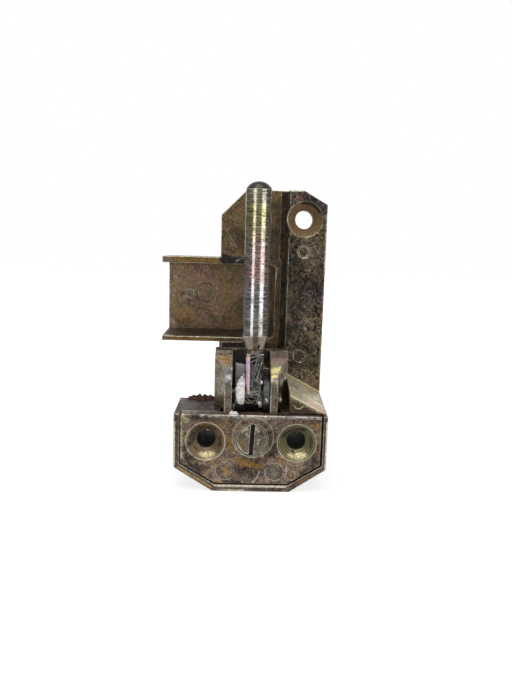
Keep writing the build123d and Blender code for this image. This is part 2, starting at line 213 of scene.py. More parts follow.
def makeWearAndShadeGroup():
    # worn edges, dirt with painted shade in the corners, and a softened normal
    inputs = {"point": ["Vector"], "number": ["Reach", "Amount", "Breakup", "Dirt Reach"]}
    outputs = {"number": ["Mask", "Crevice Dirt And Shade", "Tint"], "point": ["Normal"]}
    tree, entry, leave = startGroup("edgeWearAndCreviceShade", inputs, outputs)

    def openness(reach):
        sockets = {"Distance": entry[reach]}
        made = addNode(tree, "ShaderNodeAmbientOcclusion", sockets, samples=6, only_local=True)
        return made.outputs["AO"]

    bevel = addNode(tree, "ShaderNodeBevel", {"Radius": entry["Reach"]}, samples=6).outputs[0]
    flat = tree.nodes.new("ShaderNodeNewGeometry").outputs["Normal"]
    turn = subtract(tree, 1.0, vectorCalc(tree, "DOT_PRODUCT", bevel, flat, "Value"))
    raised = remap(tree, openness("Reach"), 0.6, 0.85)
    patches = remap(tree, noiseField(tree, entry["Vector"], 0.9, 4.0, 0.65), 0.38, 0.6)
    gaps = multiply(tree, entry["Breakup"], subtract(tree, 1.0, patches))
    mask = multiply(tree, remap(tree, turn, 0.006, 0.08), raised)
    mask = multiply(tree, mask, subtract(tree, 1.0, gaps))
    plug(tree, leave["Mask"], multiply(tree, mask, entry["Amount"]))
    # the occlusion mask darkens corners with dirt and painted shade
    plug(tree, leave["Crevice Dirt And Shade"], remap(tree, openness("Dirt Reach"), 0.82, 0.35))
    plug(tree, leave["Tint"], noiseField(tree, shifted(tree, entry["Vector"], (9, 4, -6)), 0.35, 3.0, 0.6))
    plug(tree, leave["Normal"], bevel)
    return tree


def makeStrokeGroup():
    # the trace of a tool or a smear from one point to another
    inputs = {"point": ["Vector", "From", "To"], "number": ["Width", "Soft", "Wobble", "Breakup"]}
    tree, entry, leave = startGroup("strokeMark", inputs, {"number": ["Mask"]})
    arm = vectorCalc(tree, "SUBTRACT", entry["To"], entry["From"])
    offset = vectorCalc(tree, "SUBTRACT", entry["Vector"], entry["From"])
    along = vectorCalc(tree, "DOT_PRODUCT", offset, arm, "Value")
    squared = calc(tree, "MAXIMUM", vectorCalc(tree, "DOT_PRODUCT", arm, arm, "Value"), 0.0001)
    share = clamp(tree, calc(tree, "DIVIDE", along, squared), 0.0, 1.0)
    foot = addNode(tree, "ShaderNodeVectorMath", {0: arm, "Scale": share}, operation="SCALE")
    reach = vectorCalc(tree, "DISTANCE", offset, foot.outputs["Vector"], "Value")
    ragged = subtract(tree, noiseField(tree, entry["Vector"], 1.6, 3.0, 0.65), 0.5)
    reach = add(tree, reach, multiply(tree, ragged, entry["Wobble"]))
    outer = add(tree, entry["Width"], entry["Soft"])
    holes = noiseField(tree, shifted(tree, entry["Vector"], (6, 2, -9)), 1.3, 4.0, 0.7)
    gaps = multiply(tree, entry["Breakup"], remap(tree, holes, 0.56, 0.44))
    mask = multiply(tree, remap(tree, reach, outer, entry["Width"]), subtract(tree, 1.0, gaps))
    plug(tree, leave["Mask"], mask)
    return tree


def makeRingGroup():
    # a thin round line about an axis along Y
    inputs = {"point": ["Vector", "Centre"], "number": ["Radius", "Width"]}
    tree, entry, leave = startGroup("ringLine", inputs, {"number": ["Mask", "Distance"]})
    offset = vectorCalc(tree, "SUBTRACT", entry["Vector"], entry["Centre"])
    distance = vectorCalc(tree, "LENGTH", stretched(tree, offset, (1, 0, 1)), output="Value")
    ragged = multiply(tree, subtract(tree, noiseField(tree, entry["Vector"], 1.3, 2.0), 0.5), 0.12)
    away = calc(tree, "ABSOLUTE", add(tree, subtract(tree, distance, entry["Radius"]), ragged))
    patches = remap(tree, noiseField(tree, entry["Vector"], 0.5, 4.0, 0.65), 0.4, 0.58, 0.15, 1.0)
    plug(tree, leave["Mask"], multiply(tree, remap(tree, away, entry["Width"], 0.0), patches))
    plug(tree, leave["Distance"], distance)
    return tree


def makeScratchGroup():
    # fine straight scratches in three directions
    inputs = {"point": ["Vector"], "number": ["Length Scale", "Width Scale", "Threshold"]}
    tree, entry, leave = startGroup("fineScratches", inputs, {"number": ["Mask"]})
    scales = {0: entry["Length Scale"], 1: entry["Length Scale"], 2: entry["Width Scale"]}
    total = 0.0
    for turn in (0.35, 1.25, -0.8):
        sockets = {"Vector": entry["Vector"], "Rotation": (turn * 0.5, turn, 0.0)}
        turned = addNode(tree, "ShaderNodeMapping", sockets).outputs["Vector"]
        spot = stretched(tree, turned, addNode(tree, "ShaderNodeCombineXYZ", scales).outputs[0])
        field = noiseField(tree, shifted(tree, spot, (turn * 9, turn * 5, 0)), 1.0, 1.0, 0.4)
        upper = add(tree, entry["Threshold"], 0.05)
        total = calc(tree, "MAXIMUM", total, remap(tree, field, entry["Threshold"], upper))
    plug(tree, leave["Mask"], total)
    return tree


groups = {
    "skin": makeSkinGroup(),
    "wear": makeWearAndShadeGroup(),
    "stroke": makeStrokeGroup(),
    "ring": makeRingGroup(),
    "scratch": makeScratchGroup(),
}
print("shared effects ready")


def useGroup(tree, name, sockets):
    return addNode(tree, "ShaderNodeGroup", sockets, node_tree=groups[name]).outputs


def startMaterial(name, metallic, roughness):
    material = bpy.data.materials.new(name)
    material.use_nodes = True
    tree = material.node_tree
    shader = tree.nodes["Principled BSDF"]
    shader.inputs["Metallic"].default_value = metallic
    shader.inputs["Roughness"].default_value = roughness
    place = addNode(tree, "ShaderNodeTexCoord").outputs["Object"]
    return material, tree, shader, stretched(tree, place, [1 / millimetre] * 3)


def addBump(tree, shader, height, depth, normal=None):
    sockets = {"Height": height, "Distance": depth * millimetre, "Strength": 1.0}
    if normal is not None:
        sockets["Normal"] = normal
    bump = addNode(tree, "ShaderNodeBump", sockets)
    plug(tree, shader.inputs["Normal"], bump.outputs["Normal"])


def strokeField(tree, spot, mark):
    # a stroke is (from, to, width, soft edge, wobble), with points (x, y, z), or (x, z) on the mark's face
    total = None
    for start, end, width, soft, wobble in mark["strokes"]:
        if "face" in mark:
            start, end = ((x, faceY[mark["face"]], z) for x, z in (start, end))
        sockets = {"Vector": spot, "From": start, "To": end, "Width": width, "Soft": soft, "Wobble": wobble}
        mask = useGroup(tree, "stroke", {**sockets, "Breakup": mark.get("breakup", 0.6)})["Mask"]
        total = mask if total is None else calc(tree, "MAXIMUM", total, mask)
    return total


def addMarks(tree, spot, color, height, marks):
    # each mark tints the colour, and can lift or sink the surface by grain depths and take its shine off
    matte = 0.0
    for mark in marks:
        mask = multiply(tree, strokeField(tree, spot, mark), mark["strength"])
        color = mixColor(tree, mask, color, mark["color"])
        if "lift" in mark:
            height = add(tree, height, multiply(tree, mask, mark["lift"]))
        if "matte" in mark:
            matte = calc(tree, "MAXIMUM", matte, multiply(tree, mask, mark["matte"]))
    return color, height, matte


def addRings(tree, spot, color, height, rings, fade=(1.2, 0.7)):
    # a ring fades out behind and before the face that it was cut in
    for ring in rings:
        sockets = {"Centre": ring["centre"], "Radius": ring["radius"], "Width": ring["width"]}
        mask = useGroup(tree, "ring", {"Vector": spot, **sockets})["Mask"]
        depth = calc(tree, "ABSOLUTE", subtract(tree, separate(tree, spot)["Y"], ring["centre"][1]))
        mask = multiply(tree, mask, remap(tree, depth, *fade))
        color = mixColor(tree, multiply(tree, mask, ring["strength"]), color, ring["color"])
        if "lift" in ring:
            height = add(tree, height, multiply(tree, mask, ring["lift"]))
    return color, height


def finishCasting(tree, shader, spot, color, height, shine, matte, look):
    sockets = {
        "Vector": spot,
        "Reach": look["edge"] * millimetre,
        "Amount": look["wear"],
        "Breakup": look["wearGaps"],
        "Dirt Reach": look["dirtReach"] * millimetre,
    }
    wear = useGroup(tree, "wear", sockets)
    # corners darkened by dirt and painted shade
    dirtAndShade = multiply(tree, wear["Crevice Dirt And Shade"], look["dirtAndShade"])
    color = mixColor(tree, dirtAndShade, color, look["dirtAndShadeColor"])
    bare = mixColor(tree, remap(tree, wear["Tint"], 0.42, 0.6), look["edgeColor"], look["edgeTint"])
    edge = multiply(tree, wear["Mask"], subtract(tree, 1.0, matte))
    plug(tree, shader.inputs["Base Color"], mixColor(tree, edge, color, bare))
    dull = calc(tree, "MAXIMUM", matte, multiply(tree, dirtAndShade, look["dirtMatte"]))
    plug(tree, shader.inputs["Metallic"], remap(tree, dull, 0.0, 1.0, look["metallic"], 0.0))
    rough = add(tree, add(tree, shine, look["roughness"]), multiply(tree, dull, look["matteRoughness"]))
    plug(tree, shader.inputs["Roughness"], subtract(tree, rough, multiply(tree, edge, look["edgeShine"])))
    height = subtract(tree, height, multiply(tree, dirtAndShade, look["dirtDepth"]))
    addBump(tree, shader, height, look["grainDepth"], wear["Normal"])


def makeCasting(name, look, skinLook, marks, rings=(), extra=None):
    # extra can change the skin's colour and height before the marks go on
    material, tree, shader, spot = startMaterial(name, look["metallic"], look["roughness"])
    skin = useGroup(tree, "skin", {"Vector": spot, **skinLook})
    color, height = skin["Color"], skin["Height"]
    if extra is not None:
        color, height = extra(tree, spot, color, height)
    color, height, matte = addMarks(tree, spot, color, height, marks)
    color, height = addRings(tree, spot, color, height, rings)
    finishCasting(tree, shader, spot, color, height, skin["Shine"], matte, look)
    return material


# Castings

castEdges = {
    "edge": 0.36,
    "wear": 0.95,
    "wearGaps": 0.7,
    "edgeColor": paint(232, 222, 196),
    "edgeTint": paint(206, 214, 186),
    "edgeShine": 0.1,
    # dirt with painted shade in the corners
    "dirtAndShade": 0.9,
    "dirtReach": 1.3,
    "dirtAndShadeColor": paint(20, 16, 13),
    "dirtMatte": 0.7,
    "dirtDepth": 0.3,
    "roughness": 0.38,
    "matteRoughness": 0.45,
    "grainDepth": 0.07,
    "metallic": 0.7,
}
plateSkin = {
    "Base": paint(128, 108, 76),
    "Dark": paint(52, 43, 32),
    "Warm": paint(140, 104, 58),
    "Bloom": paint(122, 108, 92),
    "Pale": paint(196, 186, 160),
    "Patch Scale": 0.2,
    "Grain Scale": 2.4,
    "Dark Amount": 0.7,
    "Warm Amount": 0.7,
    "Bloom Amount": 0.4,
    "Grain Amount": 0.6,
    "Mottle Amount": 0.4,
    "Speck Amount": 0.7,
    "Pale Amount": 0.3,
}
stripSkin = {
    "Base": paint(120, 106, 84),
    "Dark": paint(20, 16, 16),
    "Warm": paint(122, 92, 56),
    "Bloom": paint(98, 82, 88),
    "Pale": paint(206, 198, 176),
    "Patch Scale": 0.14,
    "Grain Scale": 1.5,
    "Dark Amount": 0.6,
    "Warm Amount": 0.35,
    "Bloom Amount": 0.7,
    "Grain Amount": 1.0,
    "Mottle Amount": 0.4,
    "Speck Amount": 0.9,
    "Pale Amount": 0.3,
}
webSkin = {
    "Base": paint(146, 126, 96),
    "Dark": paint(92, 76, 58),
    "Warm": paint(168, 128, 78),
    "Bloom": paint(168, 130, 122),
    "Pale": paint(190, 180, 146),
    "Patch Scale": 0.19,
    "Grain Scale": 1.5,
    "Dark Amount": 0.5,
    "Warm Amount": 0.6,
    "Bloom Amount": 0.75,
    "Grain Amount": 0.5,
    "Mottle Amount": 0.35,
    "Speck Amount": 0.5,
    "Pale Amount": 0.1,
}
boxSkin = {
    "Base": paint(100, 84, 74),
    "Dark": paint(44, 34, 30),
    "Warm": paint(128, 100, 62),
    "Bloom": paint(106, 92, 90),
    "Pale": paint(196, 184, 166),
    "Patch Scale": 0.25,
    "Grain Scale": 2.6,
    "Dark Amount": 0.6,
    "Warm Amount": 0.4,
    "Bloom Amount": 0.4,
    "Grain Amount": 0.6,
    "Mottle Amount": 0.4,
    "Speck Amount": 0.6,
    "Pale Amount": 0.25,
}
gusset = {"left": 9.0, "front": -5.0, "top": -14.0, "riseBack": 2.0 / 15.0, "fallRight": 0.53}


def gussetTop(x, y):
    # height of the gusset's slope
    rise = (y - gusset["front"]) * gusset["riseBack"]
    return gusset["top"] + rise - (x - gusset["left"]) * gusset["fallRight"]


def boreStrokes(start, end, width, soft):
    return [((x, start, z), (x, end, z), width, soft, 0.1) for x, y, z in (leftHole, rightHole)]


housingMarks = [
    {   # painted shadow of the pin right of it, and painted shade down the groove and under the trough's right end
        "color": paint(40, 30, 27), "strength": 0.75, "matte": 0.3, "breakup": 0.5,
        "strokes": [
            ((5.2, 13.2, 33.0), (5.8, 13.2, -2.0), 1.0, 1.4, 1.6),
            ((7.3, 14.0, 36.0), (7.3, 14.0, -4.0), 0.9, 0.7, 1.0),
            ((-10.0, 13.0, -4.8), (-4.0, 13.0, -4.8), 0.6, 0.8, 0.8),
        ],
    },
    {   # dark top of the box and of the lower flange
        "color": paint(56, 43, 40), "strength": 0.9, "matte": 0.3, "breakup": 0.35,
        "strokes": [
            ((-15.5, 3.0, boxTop), (-8.5, 3.0, boxTop), 6.5, 2.5, 1.5),
            ((-22.0, 21.0, -2.6), (3.0, 21.0, -2.6), 5.0, 2.5, 2.0),
        ],
    },
    {   # matte brown countersink of the strip
        "color": paint(126, 98, 66), "strength": 0.85, "matte": 0.7, "breakup": 0.15,
        "strokes": [((12.5, 10.2, 29.5), (12.5, 12.2, 29.5), 4.3, 0.3, 0.3)],
    },
    {   # painted shade inside the screw bores
        "color": paint(10, 8, 7), "strength": 1.0, "matte": 1.0, "breakup": 0.0,
        "strokes": boreStrokes(-3.4, 10.2, 2.7, 0.3),
    },
    {   # scribed line and scuffs on the plate left of the pin
        "color": paint(176, 166, 146), "strength": 0.5, "lift": -0.5, "face": "plate",
        "strokes": [
            ((-8.0, 29.3), (-3.8, 29.7), 0.03, 0.14, 0.2),
            ((-8.5, 26.8), (-5.4, 21.8), 0.03, 0.3, 1.0),
            ((-7.4, 24.0), (-6.2, 21.2), 0.03, 0.3, 1.0),
        ],
    },
    {   # black where the plate meets the trough, and painted shade on the upper right of the strip's countersink
        "color": paint(12, 9, 8), "strength": 1.0, "lift": 0.4, "matte": 1.0, "breakup": 0.1,
        "strokes": [
            ((-8.8, 13.0, 18.3), (-3.0, 13.0, 18.4), 0.7, 0.6, 1.8),
            ((-8.9, 13.0, 19.5), (-6.6, 13.0, 18.8), 0.35, 0.5, 1.4),
            ((8.6, 10.4, 19.0), (10.2, 10.4, 18.4), 0.2, 0.7, 1.2),
            ((11.6, 10.8, 33.7), (14.2, 10.8, 33.5), 0.1, 0.5, 0.6),
            ((14.2, 10.8, 33.5), (16.2, 10.8, 31.6), 0.15, 0.6, 0.6),
        ],
    },
    {   # white smears beside the groove and on the strip
        "color": paint(206, 202, 204), "strength": 0.75, "lift": 0.4,
        "strokes": [
            ((7.3, 13.4, 3.2), (7.6, 13.4, 6.2), 0.1, 0.5, 1.1),
            ((5.0, 13.0, 12.0), (5.6, 13.0, 16.5), 0.02, 0.4, 1.2),
            ((13.6, 10.4, 0.6), (13.7, 10.4, 0.7), 0.2, 0.15, 0.3),
            ((-5.4, 12.9, 18.2), (-3.4, 12.9, 19.0), 0.0, 0.18, 1.3),
        ],
    },
    {   # worn left edge of the strip and the rim of its boss, with a painted highlight
        "color": paint(214, 224, 204), "strength": 0.9, "breakup": 0.7, "face": "strip",
        "strokes": [
            ((8.35, -3.5), (8.35, 24.5), 0.1, 0.16, 0.25),
            ((8.35, 33.5), (8.35, 36.6), 0.1, 0.16, 0.25),
            ((8.3, 36.7), (12.0, 36.8), 0.1, 0.2, 0.25),
            ((18.1, 31.0), (18.1, 16.0), 0.0, 0.16, 0.3),
            ((7.75, 27.6), (7.6, 31.0), 0.1, 0.16, 0.25),
        ],
    },
    {   # worn outline of the plate
        "color": paint(184, 172, 144), "strength": 0.7, "breakup": 0.7, "face": "plate",
        "strokes": [
            ((-9.4, 19.5), (-9.4, 30.2), 0.03, 0.2, 0.3),
            ((-9.4, 30.2), (-2.9, 36.7), 0.03, 0.2, 0.3),
        ],
    },
    {   # dark green moss low on the strip
        "color": paint(34, 36, 16), "strength": 0.7, "lift": 0.2, "matte": 0.3, "breakup": 0.6,
        "face": "strip",
        "strokes": [
            ((10.0, 0.0), (14.0, -4.0), 1.2, 2.0, 2.6),
            ((11.0, -8.5), (12.5, -10.0), 0.3, 1.2, 1.6),
        ],
    },
    {   # orange and green dots down the strip's right edge
        "color": paint(190, 150, 60), "strength": 0.8, "breakup": 0.95, "face": "strip",
        "strokes": [((18.0, -1.0), (18.1, -15.0), 0.0, 0.22, 0.2)],
    },
    {   # painted shade on the foot of the plate over the fork
        "color": paint(16, 12, 12), "strength": 0.97, "lift": 0.3, "matte": 0.6, "breakup": 0.3,
        "face": "plate",
        "strokes": [((-8.4, -4.8), (7.0, -4.8), 0.8, 0.3, 0.5)],
    },
    {   # painted pink and cream highlight along the edge over the fork
        "color": paint(206, 178, 156), "strength": 0.8, "breakup": 0.5, "face": "plate",
        "strokes": [
            ((-8.8, -3.9), (-3.4, -3.8), 0.06, 0.2, 0.4),
            ((-8.9, -4.0), (-8.9, -5.4), 0.04, 0.2, 0.2),
        ],
    },
    {   # orange stain on the flange front and low in the trough
        "color": paint(158, 112, 52), "strength": 0.5,
        "strokes": [
            ((-21.0, 13.0, 18.2), (-10.5, 13.0, 18.0), 0.5, 0.5, 0.9),
            ((-21.5, 28.5, 2.0), (-20.0, 28.5, 0.6), 0.6, 2.2, 2.4),
            ((-21.0, 13.0, -3.2), (-12.0, 13.0, -3.2), 0.4, 0.4, 0.9),
        ],
    },
    {   # pink bloom on the web
        "color": paint(182, 138, 128), "strength": 0.5, "face": "web",
        "strokes": [((-19.8, 13.2), (-13.0, 11.5), 0.8, 3.2, 2.6)],
    },
    {   # olive green on the web
        "color": paint(138, 134, 66), "strength": 0.5, "face": "web",
        "strokes": [
            ((-6.6, 9.9), (-7.4, 6.5), 0.6, 2.4, 2.2),
            ((-12.6, 9.0), (-11.6, 7.0), 0.2, 1.0, 0.8),
        ],
    },
    {   # worn grey end of the top flange
        "color": paint(116, 116, 118), "strength": 0.8, "face": "plate",
        "strokes": [((-25.1, 18.2), (-23.6, 18.2), 0.6, 0.6, 0.6)],
    },
    {   # red specks
        "color": paint(168, 70, 46), "strength": 0.8, "lift": 0.2,
        "strokes": [
            ((10.0, 10.4, 2.6), (10.1, 10.4, 2.7), 0.1, 0.15, 0.4),
            ((6.9, 13.5, 12.0), (7.0, 13.5, 12.5), 0.1, 0.15, 0.4),
            ((1.6, 13.0, 34.8), (2.4, 13.0, 34.2), 0.05, 0.3, 1.2),
            ((3.0, 13.0, 28.2), (4.4, 13.0, 28.8), 0.05, 0.2, 1.0),
            ((11.2, 10.4, 35.0), (11.6, 10.4, 34.4), 0.05, 0.2, 0.6),
        ],
    },
    {   # brown front of the gusset
        "color": paint(88, 66, 54), "strength": 0.8, "breakup": 0.4,
        "strokes": [((10.6, -5.0, -17.0), (14.0, -5.0, -18.2), 1.4, 0.8, 0.8)],
    },
    {   # painted shade in the gaps at its foot and at its left end
        "color": paint(10, 8, 7), "strength": 0.95, "matte": 0.9, "breakup": 0.1,
        "strokes": [
            ((9.0, -5.0, -18.8), (17.6, -5.0, -18.9), 0.1, 0.3, 0.2),
            ((9.0, -4.8, -14.6), (9.0, -4.8, -18.8), 0.1, 0.3, 0.2),
        ],
    },
    {   # brushed streaks on the gusset's slope, lightened as painted light on that upward face
        "color": paint(224, 210, 186), "strength": 0.9, "matte": 0.25, "breakup": 0.5,
        "strokes": [
            ((9.6, y, gussetTop(9.6, y)), (16.9, y, gussetTop(16.9, y)), 1.2, 0.7, 0.8)
            for y in (-3.6, -1.2, 1.2, 3.6, 6.0, 8.4)
        ],
    },
    {   # pink smear at its low end
        "color": paint(236, 164, 142), "strength": 0.9, "lift": 0.1, "matte": 0.5,
        "strokes": [
            ((14.6, -2.8, gussetTop(14.6, -2.8)), (17.9, -3.6, gussetTop(17.9, -3.6)), 0.5, 0.9, 1.2),
        ],
    },
    {   # painted highlights on the gusset's edges, and bright scratches on it
        "color": paint(248, 242, 184), "strength": 0.95, "lift": -0.2, "matte": 0.6, "breakup": 0.35,
        "strokes": [
            ((9.0, 10.2, -11.9), (18.2, 10.2, -16.8), 0.2, 0.25, 0.25),
            ((9.2, -5.0, -14.0), (16.4, -5.0, -17.9), 0.16, 0.22, 0.25),
            ((13.6, 1.0, -15.65), (17.6, 0.2, -17.85), 0.25, 0.5, 0.9),
            ((9.6, 6.6, -12.6), (17.0, 6.2, -16.4), 0.0, 0.5, 0.9),
            ((9.4, -2.6, -13.6), (14.0, -3.0, -16.2), 0.0, 0.3, 0.6),
            ((10.0, -5.0, -16.7), (10.6, -5.0, -17.4), 0.04, 0.1, 0.15),
            ((10.6, -5.0, -17.4), (11.5, -5.0, -17.5), 0.04, 0.1, 0.15),
            ((11.5, -5.0, -17.5), (12.4, -5.0, -16.8), 0.04, 0.1, 0.15),
        ],
    },
    {   # worn cream rim of the box, brightest along the bottom
        "color": paint(246, 236, 214), "strength": 0.9, "matte": 0.4, "breakup": 0.45, "face": "front",
        "strokes": [
            ((-9.2, -37.2), (8.4, -37.2), 0.08, 0.35, 0.4),
            ((-8.0, -38.3), (-2.0, -38.3), 0.0, 0.2, 0.5),
            ((-19.4, -21.0), (-19.4, -32.0), 0.05, 0.25, 0.3),
            ((18.2, -20.5), (18.2, -32.0), 0.05, 0.25, 0.3),
        ],
    },
    {   # gold line low left on the rim
        "color": paint(200, 164, 96), "strength": 0.8, "face": "front",
        "strokes": [((-18.6, -32.6), (-10.2, -37.6), 0.08, 0.3, 0.5)],
    },
]
housingRings = [
    {   # ejector mark of the web
        "centre": (-14.1, 28.5, 8.4), "radius": 2.75, "width": 0.16,
        "color": paint(70, 56, 36), "strength": 0.8,
    },
    {   # pale smudge left of it
        "centre": (-19.0, 28.5, 8.0), "radius": 1.25, "width": 0.5,
        "color": paint(172, 162, 166), "strength": 0.9, "lift": 0.2,
    },
    {   # upper ejector mark of the strip
        "centre": (12.5, 10.4, 21.2), "radius": 1.6, "width": 0.2,
        "color": paint(176, 168, 112), "strength": 0.75,
    },
    {   # lower ejector mark of the strip
        "centre": (12.5, 10.4, -6.8), "radius": 1.7, "width": 0.2,
        "color": paint(140, 124, 84), "strength": 0.35,
    },
]
# parts of the housing with a skin of their own, each bounded by soft steps (axis, from, to)
housingRegions = [
    {"skin": stripSkin, "limits": [("X", 7.4, 8.3), ("Y", 13.6, 12.9), ("Z", -16.0, -14.0)]},
    {"skin": webSkin, "limits": [("Y", 25.5, 27.5), ("Z", -4.0, -3.0)]},
    {"skin": boxSkin, "limits": [("Z", -15.5, -18.0), ("Y", 13.0, 11.5)]},
]


def addRegions(tree, spot, color, height):
    parts = separate(tree, spot)
    for region in housingRegions:
        mask = 1.0
        for axis, low, high in region["limits"]:
            mask = multiply(tree, mask, remap(tree, parts[axis], low, high))
        other = useGroup(tree, "skin", {"Vector": spot, **region["skin"]})
        color = mixColor(tree, mask, color, other["Color"])
        height = add(tree, height, multiply(tree, mask, subtract(tree, other["Height"], height)))
    return color, height


coverLook = {**castEdges, "edge": 0.45, "wear": 1.0, "grainDepth": 0.08}
coverSkin = {
    **boxSkin,
    "Base": paint(136, 117, 99),
    "Dark": paint(42, 32, 28),
    "Warm": paint(150, 116, 62),
    "Bloom": paint(124, 106, 104),
    "Patch Scale": 0.22,
    "Pale Amount": 0.4,
    "Dark Amount": 0.8,
    "Mottle Amount": 0.6,
    "Grain Amount": 0.75,
}
coverMarks = [
    {   # painted highlight on the rounded upper left corner and the left edge
        "color": paint(214, 208, 160), "strength": 0.75, "breakup": 0.8, "face": "front",
        "strokes": [
            ((-17.4, -19.6), (-16.4, -20.4), 0.1, 0.9, 1.2),
            ((-17.8, -21.0), (-17.6, -30.0), 0.0, 0.5, 0.9),
        ],
    },
    {   # worn light band under the top edge
        "color": paint(212, 212, 206), "strength": 0.75, "breakup": 0.85, "face": "front",
        "strokes": [
            ((-13.0, -19.2), (16.6, -19.3), 0.05, 0.6, 1.2),
            ((-4.4, -19.2), (4.0, -19.2), 0.2, 0.8, 1.0),
        ],
    },
    {   # painted shade inside the screw bores
        "color": paint(10, 8, 7), "strength": 1.0, "matte": 1.0, "breakup": 0.0,
        "strokes": boreStrokes(-3.2, 10.0, 2.45, 0.2),
    },
    {   # gold patches around the screw
        "color": paint(150, 112, 44), "strength": 0.75, "face": "front",
        "strokes": [
            ((-6.0, -25.0), (-5.6, -27.5), 0.2, 0.9, 1.6),
            ((-3.6, -30.6), (1.4, -32.0), 0.3, 0.9, 1.8),
            ((-2.4, -31.2), (-1.0, -31.6), 0.2, 0.7, 1.4),
        ],
    },
    {   # dark stain low in the middle
        "color": paint(66, 54, 54), "strength": 0.6, "face": "front",
        "strokes": [
            ((-4.0, -35.4), (1.0, -35.0), 0.7, 1.4, 1.6),
            ((4.0, -36.4), (9.0, -36.2), 0.2, 0.7, 0.8),
        ],
    },
    {   # gouges
        "color": paint(190, 180, 172), "strength": 0.8, "lift": -0.8, "face": "front",
        "strokes": [
            ((1.8, -33.4), (1.2, -35.0), 0.08, 0.2, 0.4),
            ((1.2, -35.0), (0.2, -36.2), 0.12, 0.3, 0.6),
            ((8.7, -31.2), (8.4, -33.0), 0.04, 0.14, 0.2),
            ((8.6, -33.0), (8.2, -34.9), 0.08, 0.2, 0.4),
        ],
    },
    {   # small pale spots
        "color": paint(198, 198, 202), "strength": 0.7, "lift": 0.2, "face": "front",
        "strokes": [
            ((14.4, -32.1), (14.6, -32.2), 0.1, 0.2, 0.4),
            ((13.9, -32.3), (14.0, -32.3), 0.05, 0.15, 0.3),
            ((-13.0, -31.5), (-12.9, -31.6), 0.05, 0.2, 0.3),
        ],
    },
    {   # orange spot
        "color": paint(206, 122, 40), "strength": 0.9, "lift": 0.2, "face": "front",
        "strokes": [((15.9, -21.0), (15.9, -21.7), 0.1, 0.25, 0.4)],
    },
    {   # painted shade in the upper halves of the countersinks, and dark dirt over the cover
        "color": paint(22, 17, 13), "strength": 0.9, "matte": 0.5, "breakup": 0.45,
        "strokes": [
            ((-15.5, -5.6, -26.2), (-13.8, -5.4, -22.9), 0.5, 1.1, 2.0),
            ((-13.6, -5.4, -22.8), (-9.4, -5.4, -22.6), 0.3, 0.7, 1.4),
            ((-14.6, -5.2, -28.0), (-13.8, -4.8, -28.6), 0.1, 0.5, 1.0),
            ((-8.2, -5.6, -25.0), (-8.4, -5.6, -27.0), 0.1, 0.6, 1.2),
            ((7.6, -5.4, -24.2), (12.6, -5.4, -22.5), 0.4, 0.8, 1.4),
            ((14.4, -5.6, -24.4), (14.6, -5.6, -26.8), 0.1, 0.7, 1.2),
            ((-16.8, -6.7, -27.6), (-15.8, -6.7, -31.0), 0.2, 1.2, 2.0),
            ((12.6, -6.7, -33.6), (15.0, -6.7, -31.8), 0.2, 1.0, 1.8),
            ((-7.0, -6.7, -36.0), (-3.0, -6.7, -36.4), 0.1, 0.7, 1.4),
        ],
    },
    {   # painted light on the lower halves of the two countersinks, and a painted highlight in the left bore
        "color": paint(236, 220, 172), "strength": 0.85, "matte": 0.2,
        "strokes": [
            ((-13.0, -5.6, -29.4), (-9.9, -5.6, -29.4), 0.2, 0.8, 1.6),
            ((9.4, -5.6, -29.4), (13.0, -5.6, -29.2), 0.3, 0.8, 1.3),
            ((-12.6, -2.8, -23.7), (-11.0, -2.8, -23.7), 0.02, 0.12, 0.1),
        ],
    },
    {   # black chip in the right countersink
        "color": paint(12, 10, 8), "strength": 1.0, "lift": -0.6,
        "strokes": [((10.1, -4.6, -28.3), (10.3, -5.1, -29.0), 0.22, 0.12, 0.3)],
    },
]
coverRings = [
    {   # rim of the adjusting screw's hole
        "centre": (0.0, -6.6, -24.6), "radius": 5.1, "width": 0.13,
        "color": paint(176, 170, 158), "strength": 0.6,
    },
    {   # rim of the left countersink
        "centre": leftHole, "radius": sinkRadius, "width": 0.25,
        "color": paint(206, 196, 170), "strength": 0.75,
    },
    {   # rim of the right countersink
        "centre": rightHole, "radius": sinkRadius, "width": 0.22,
        "color": paint(184, 184, 158), "strength": 0.6,
    },
]
sinkLook = {
    "softEdge": 0.15,
    "pitch": 0.55,
    "lineColor": paint(54, 52, 38),
    "lineDepth": 0.5,
    "sinks": [
        {"centre": leftHole, "color": paint(150, 130, 98), "strength": 0.5, "lines": 0.2},
        {"centre": rightHole, "color": paint(150, 150, 106), "strength": 0.6, "lines": 0.6},
    ],
}


def addCountersinks(tree, spot, color, height):
    # tinted cones with the rings that the drill left
    look = sinkLook
    for sink in look["sinks"]:
        distance = useGroup(tree, "ring", {"Vector": spot, "Centre": sink["centre"]})["Distance"]
        inside = remap(tree, distance, sinkRadius, sinkRadius - look["softEdge"])
        color = mixColor(tree, multiply(tree, inside, sink["strength"]), color, sink["color"])
        wave = calc(tree, "SINE", multiply(tree, distance, 2 * math.pi / look["pitch"]))
        dark = multiply(tree, multiply(tree, remap(tree, wave, -0.2, 0.9), inside), sink["lines"])
        color = mixColor(tree, dark, color, look["lineColor"])
        height = subtract(tree, height, multiply(tree, dark, look["lineDepth"]))
    return color, height


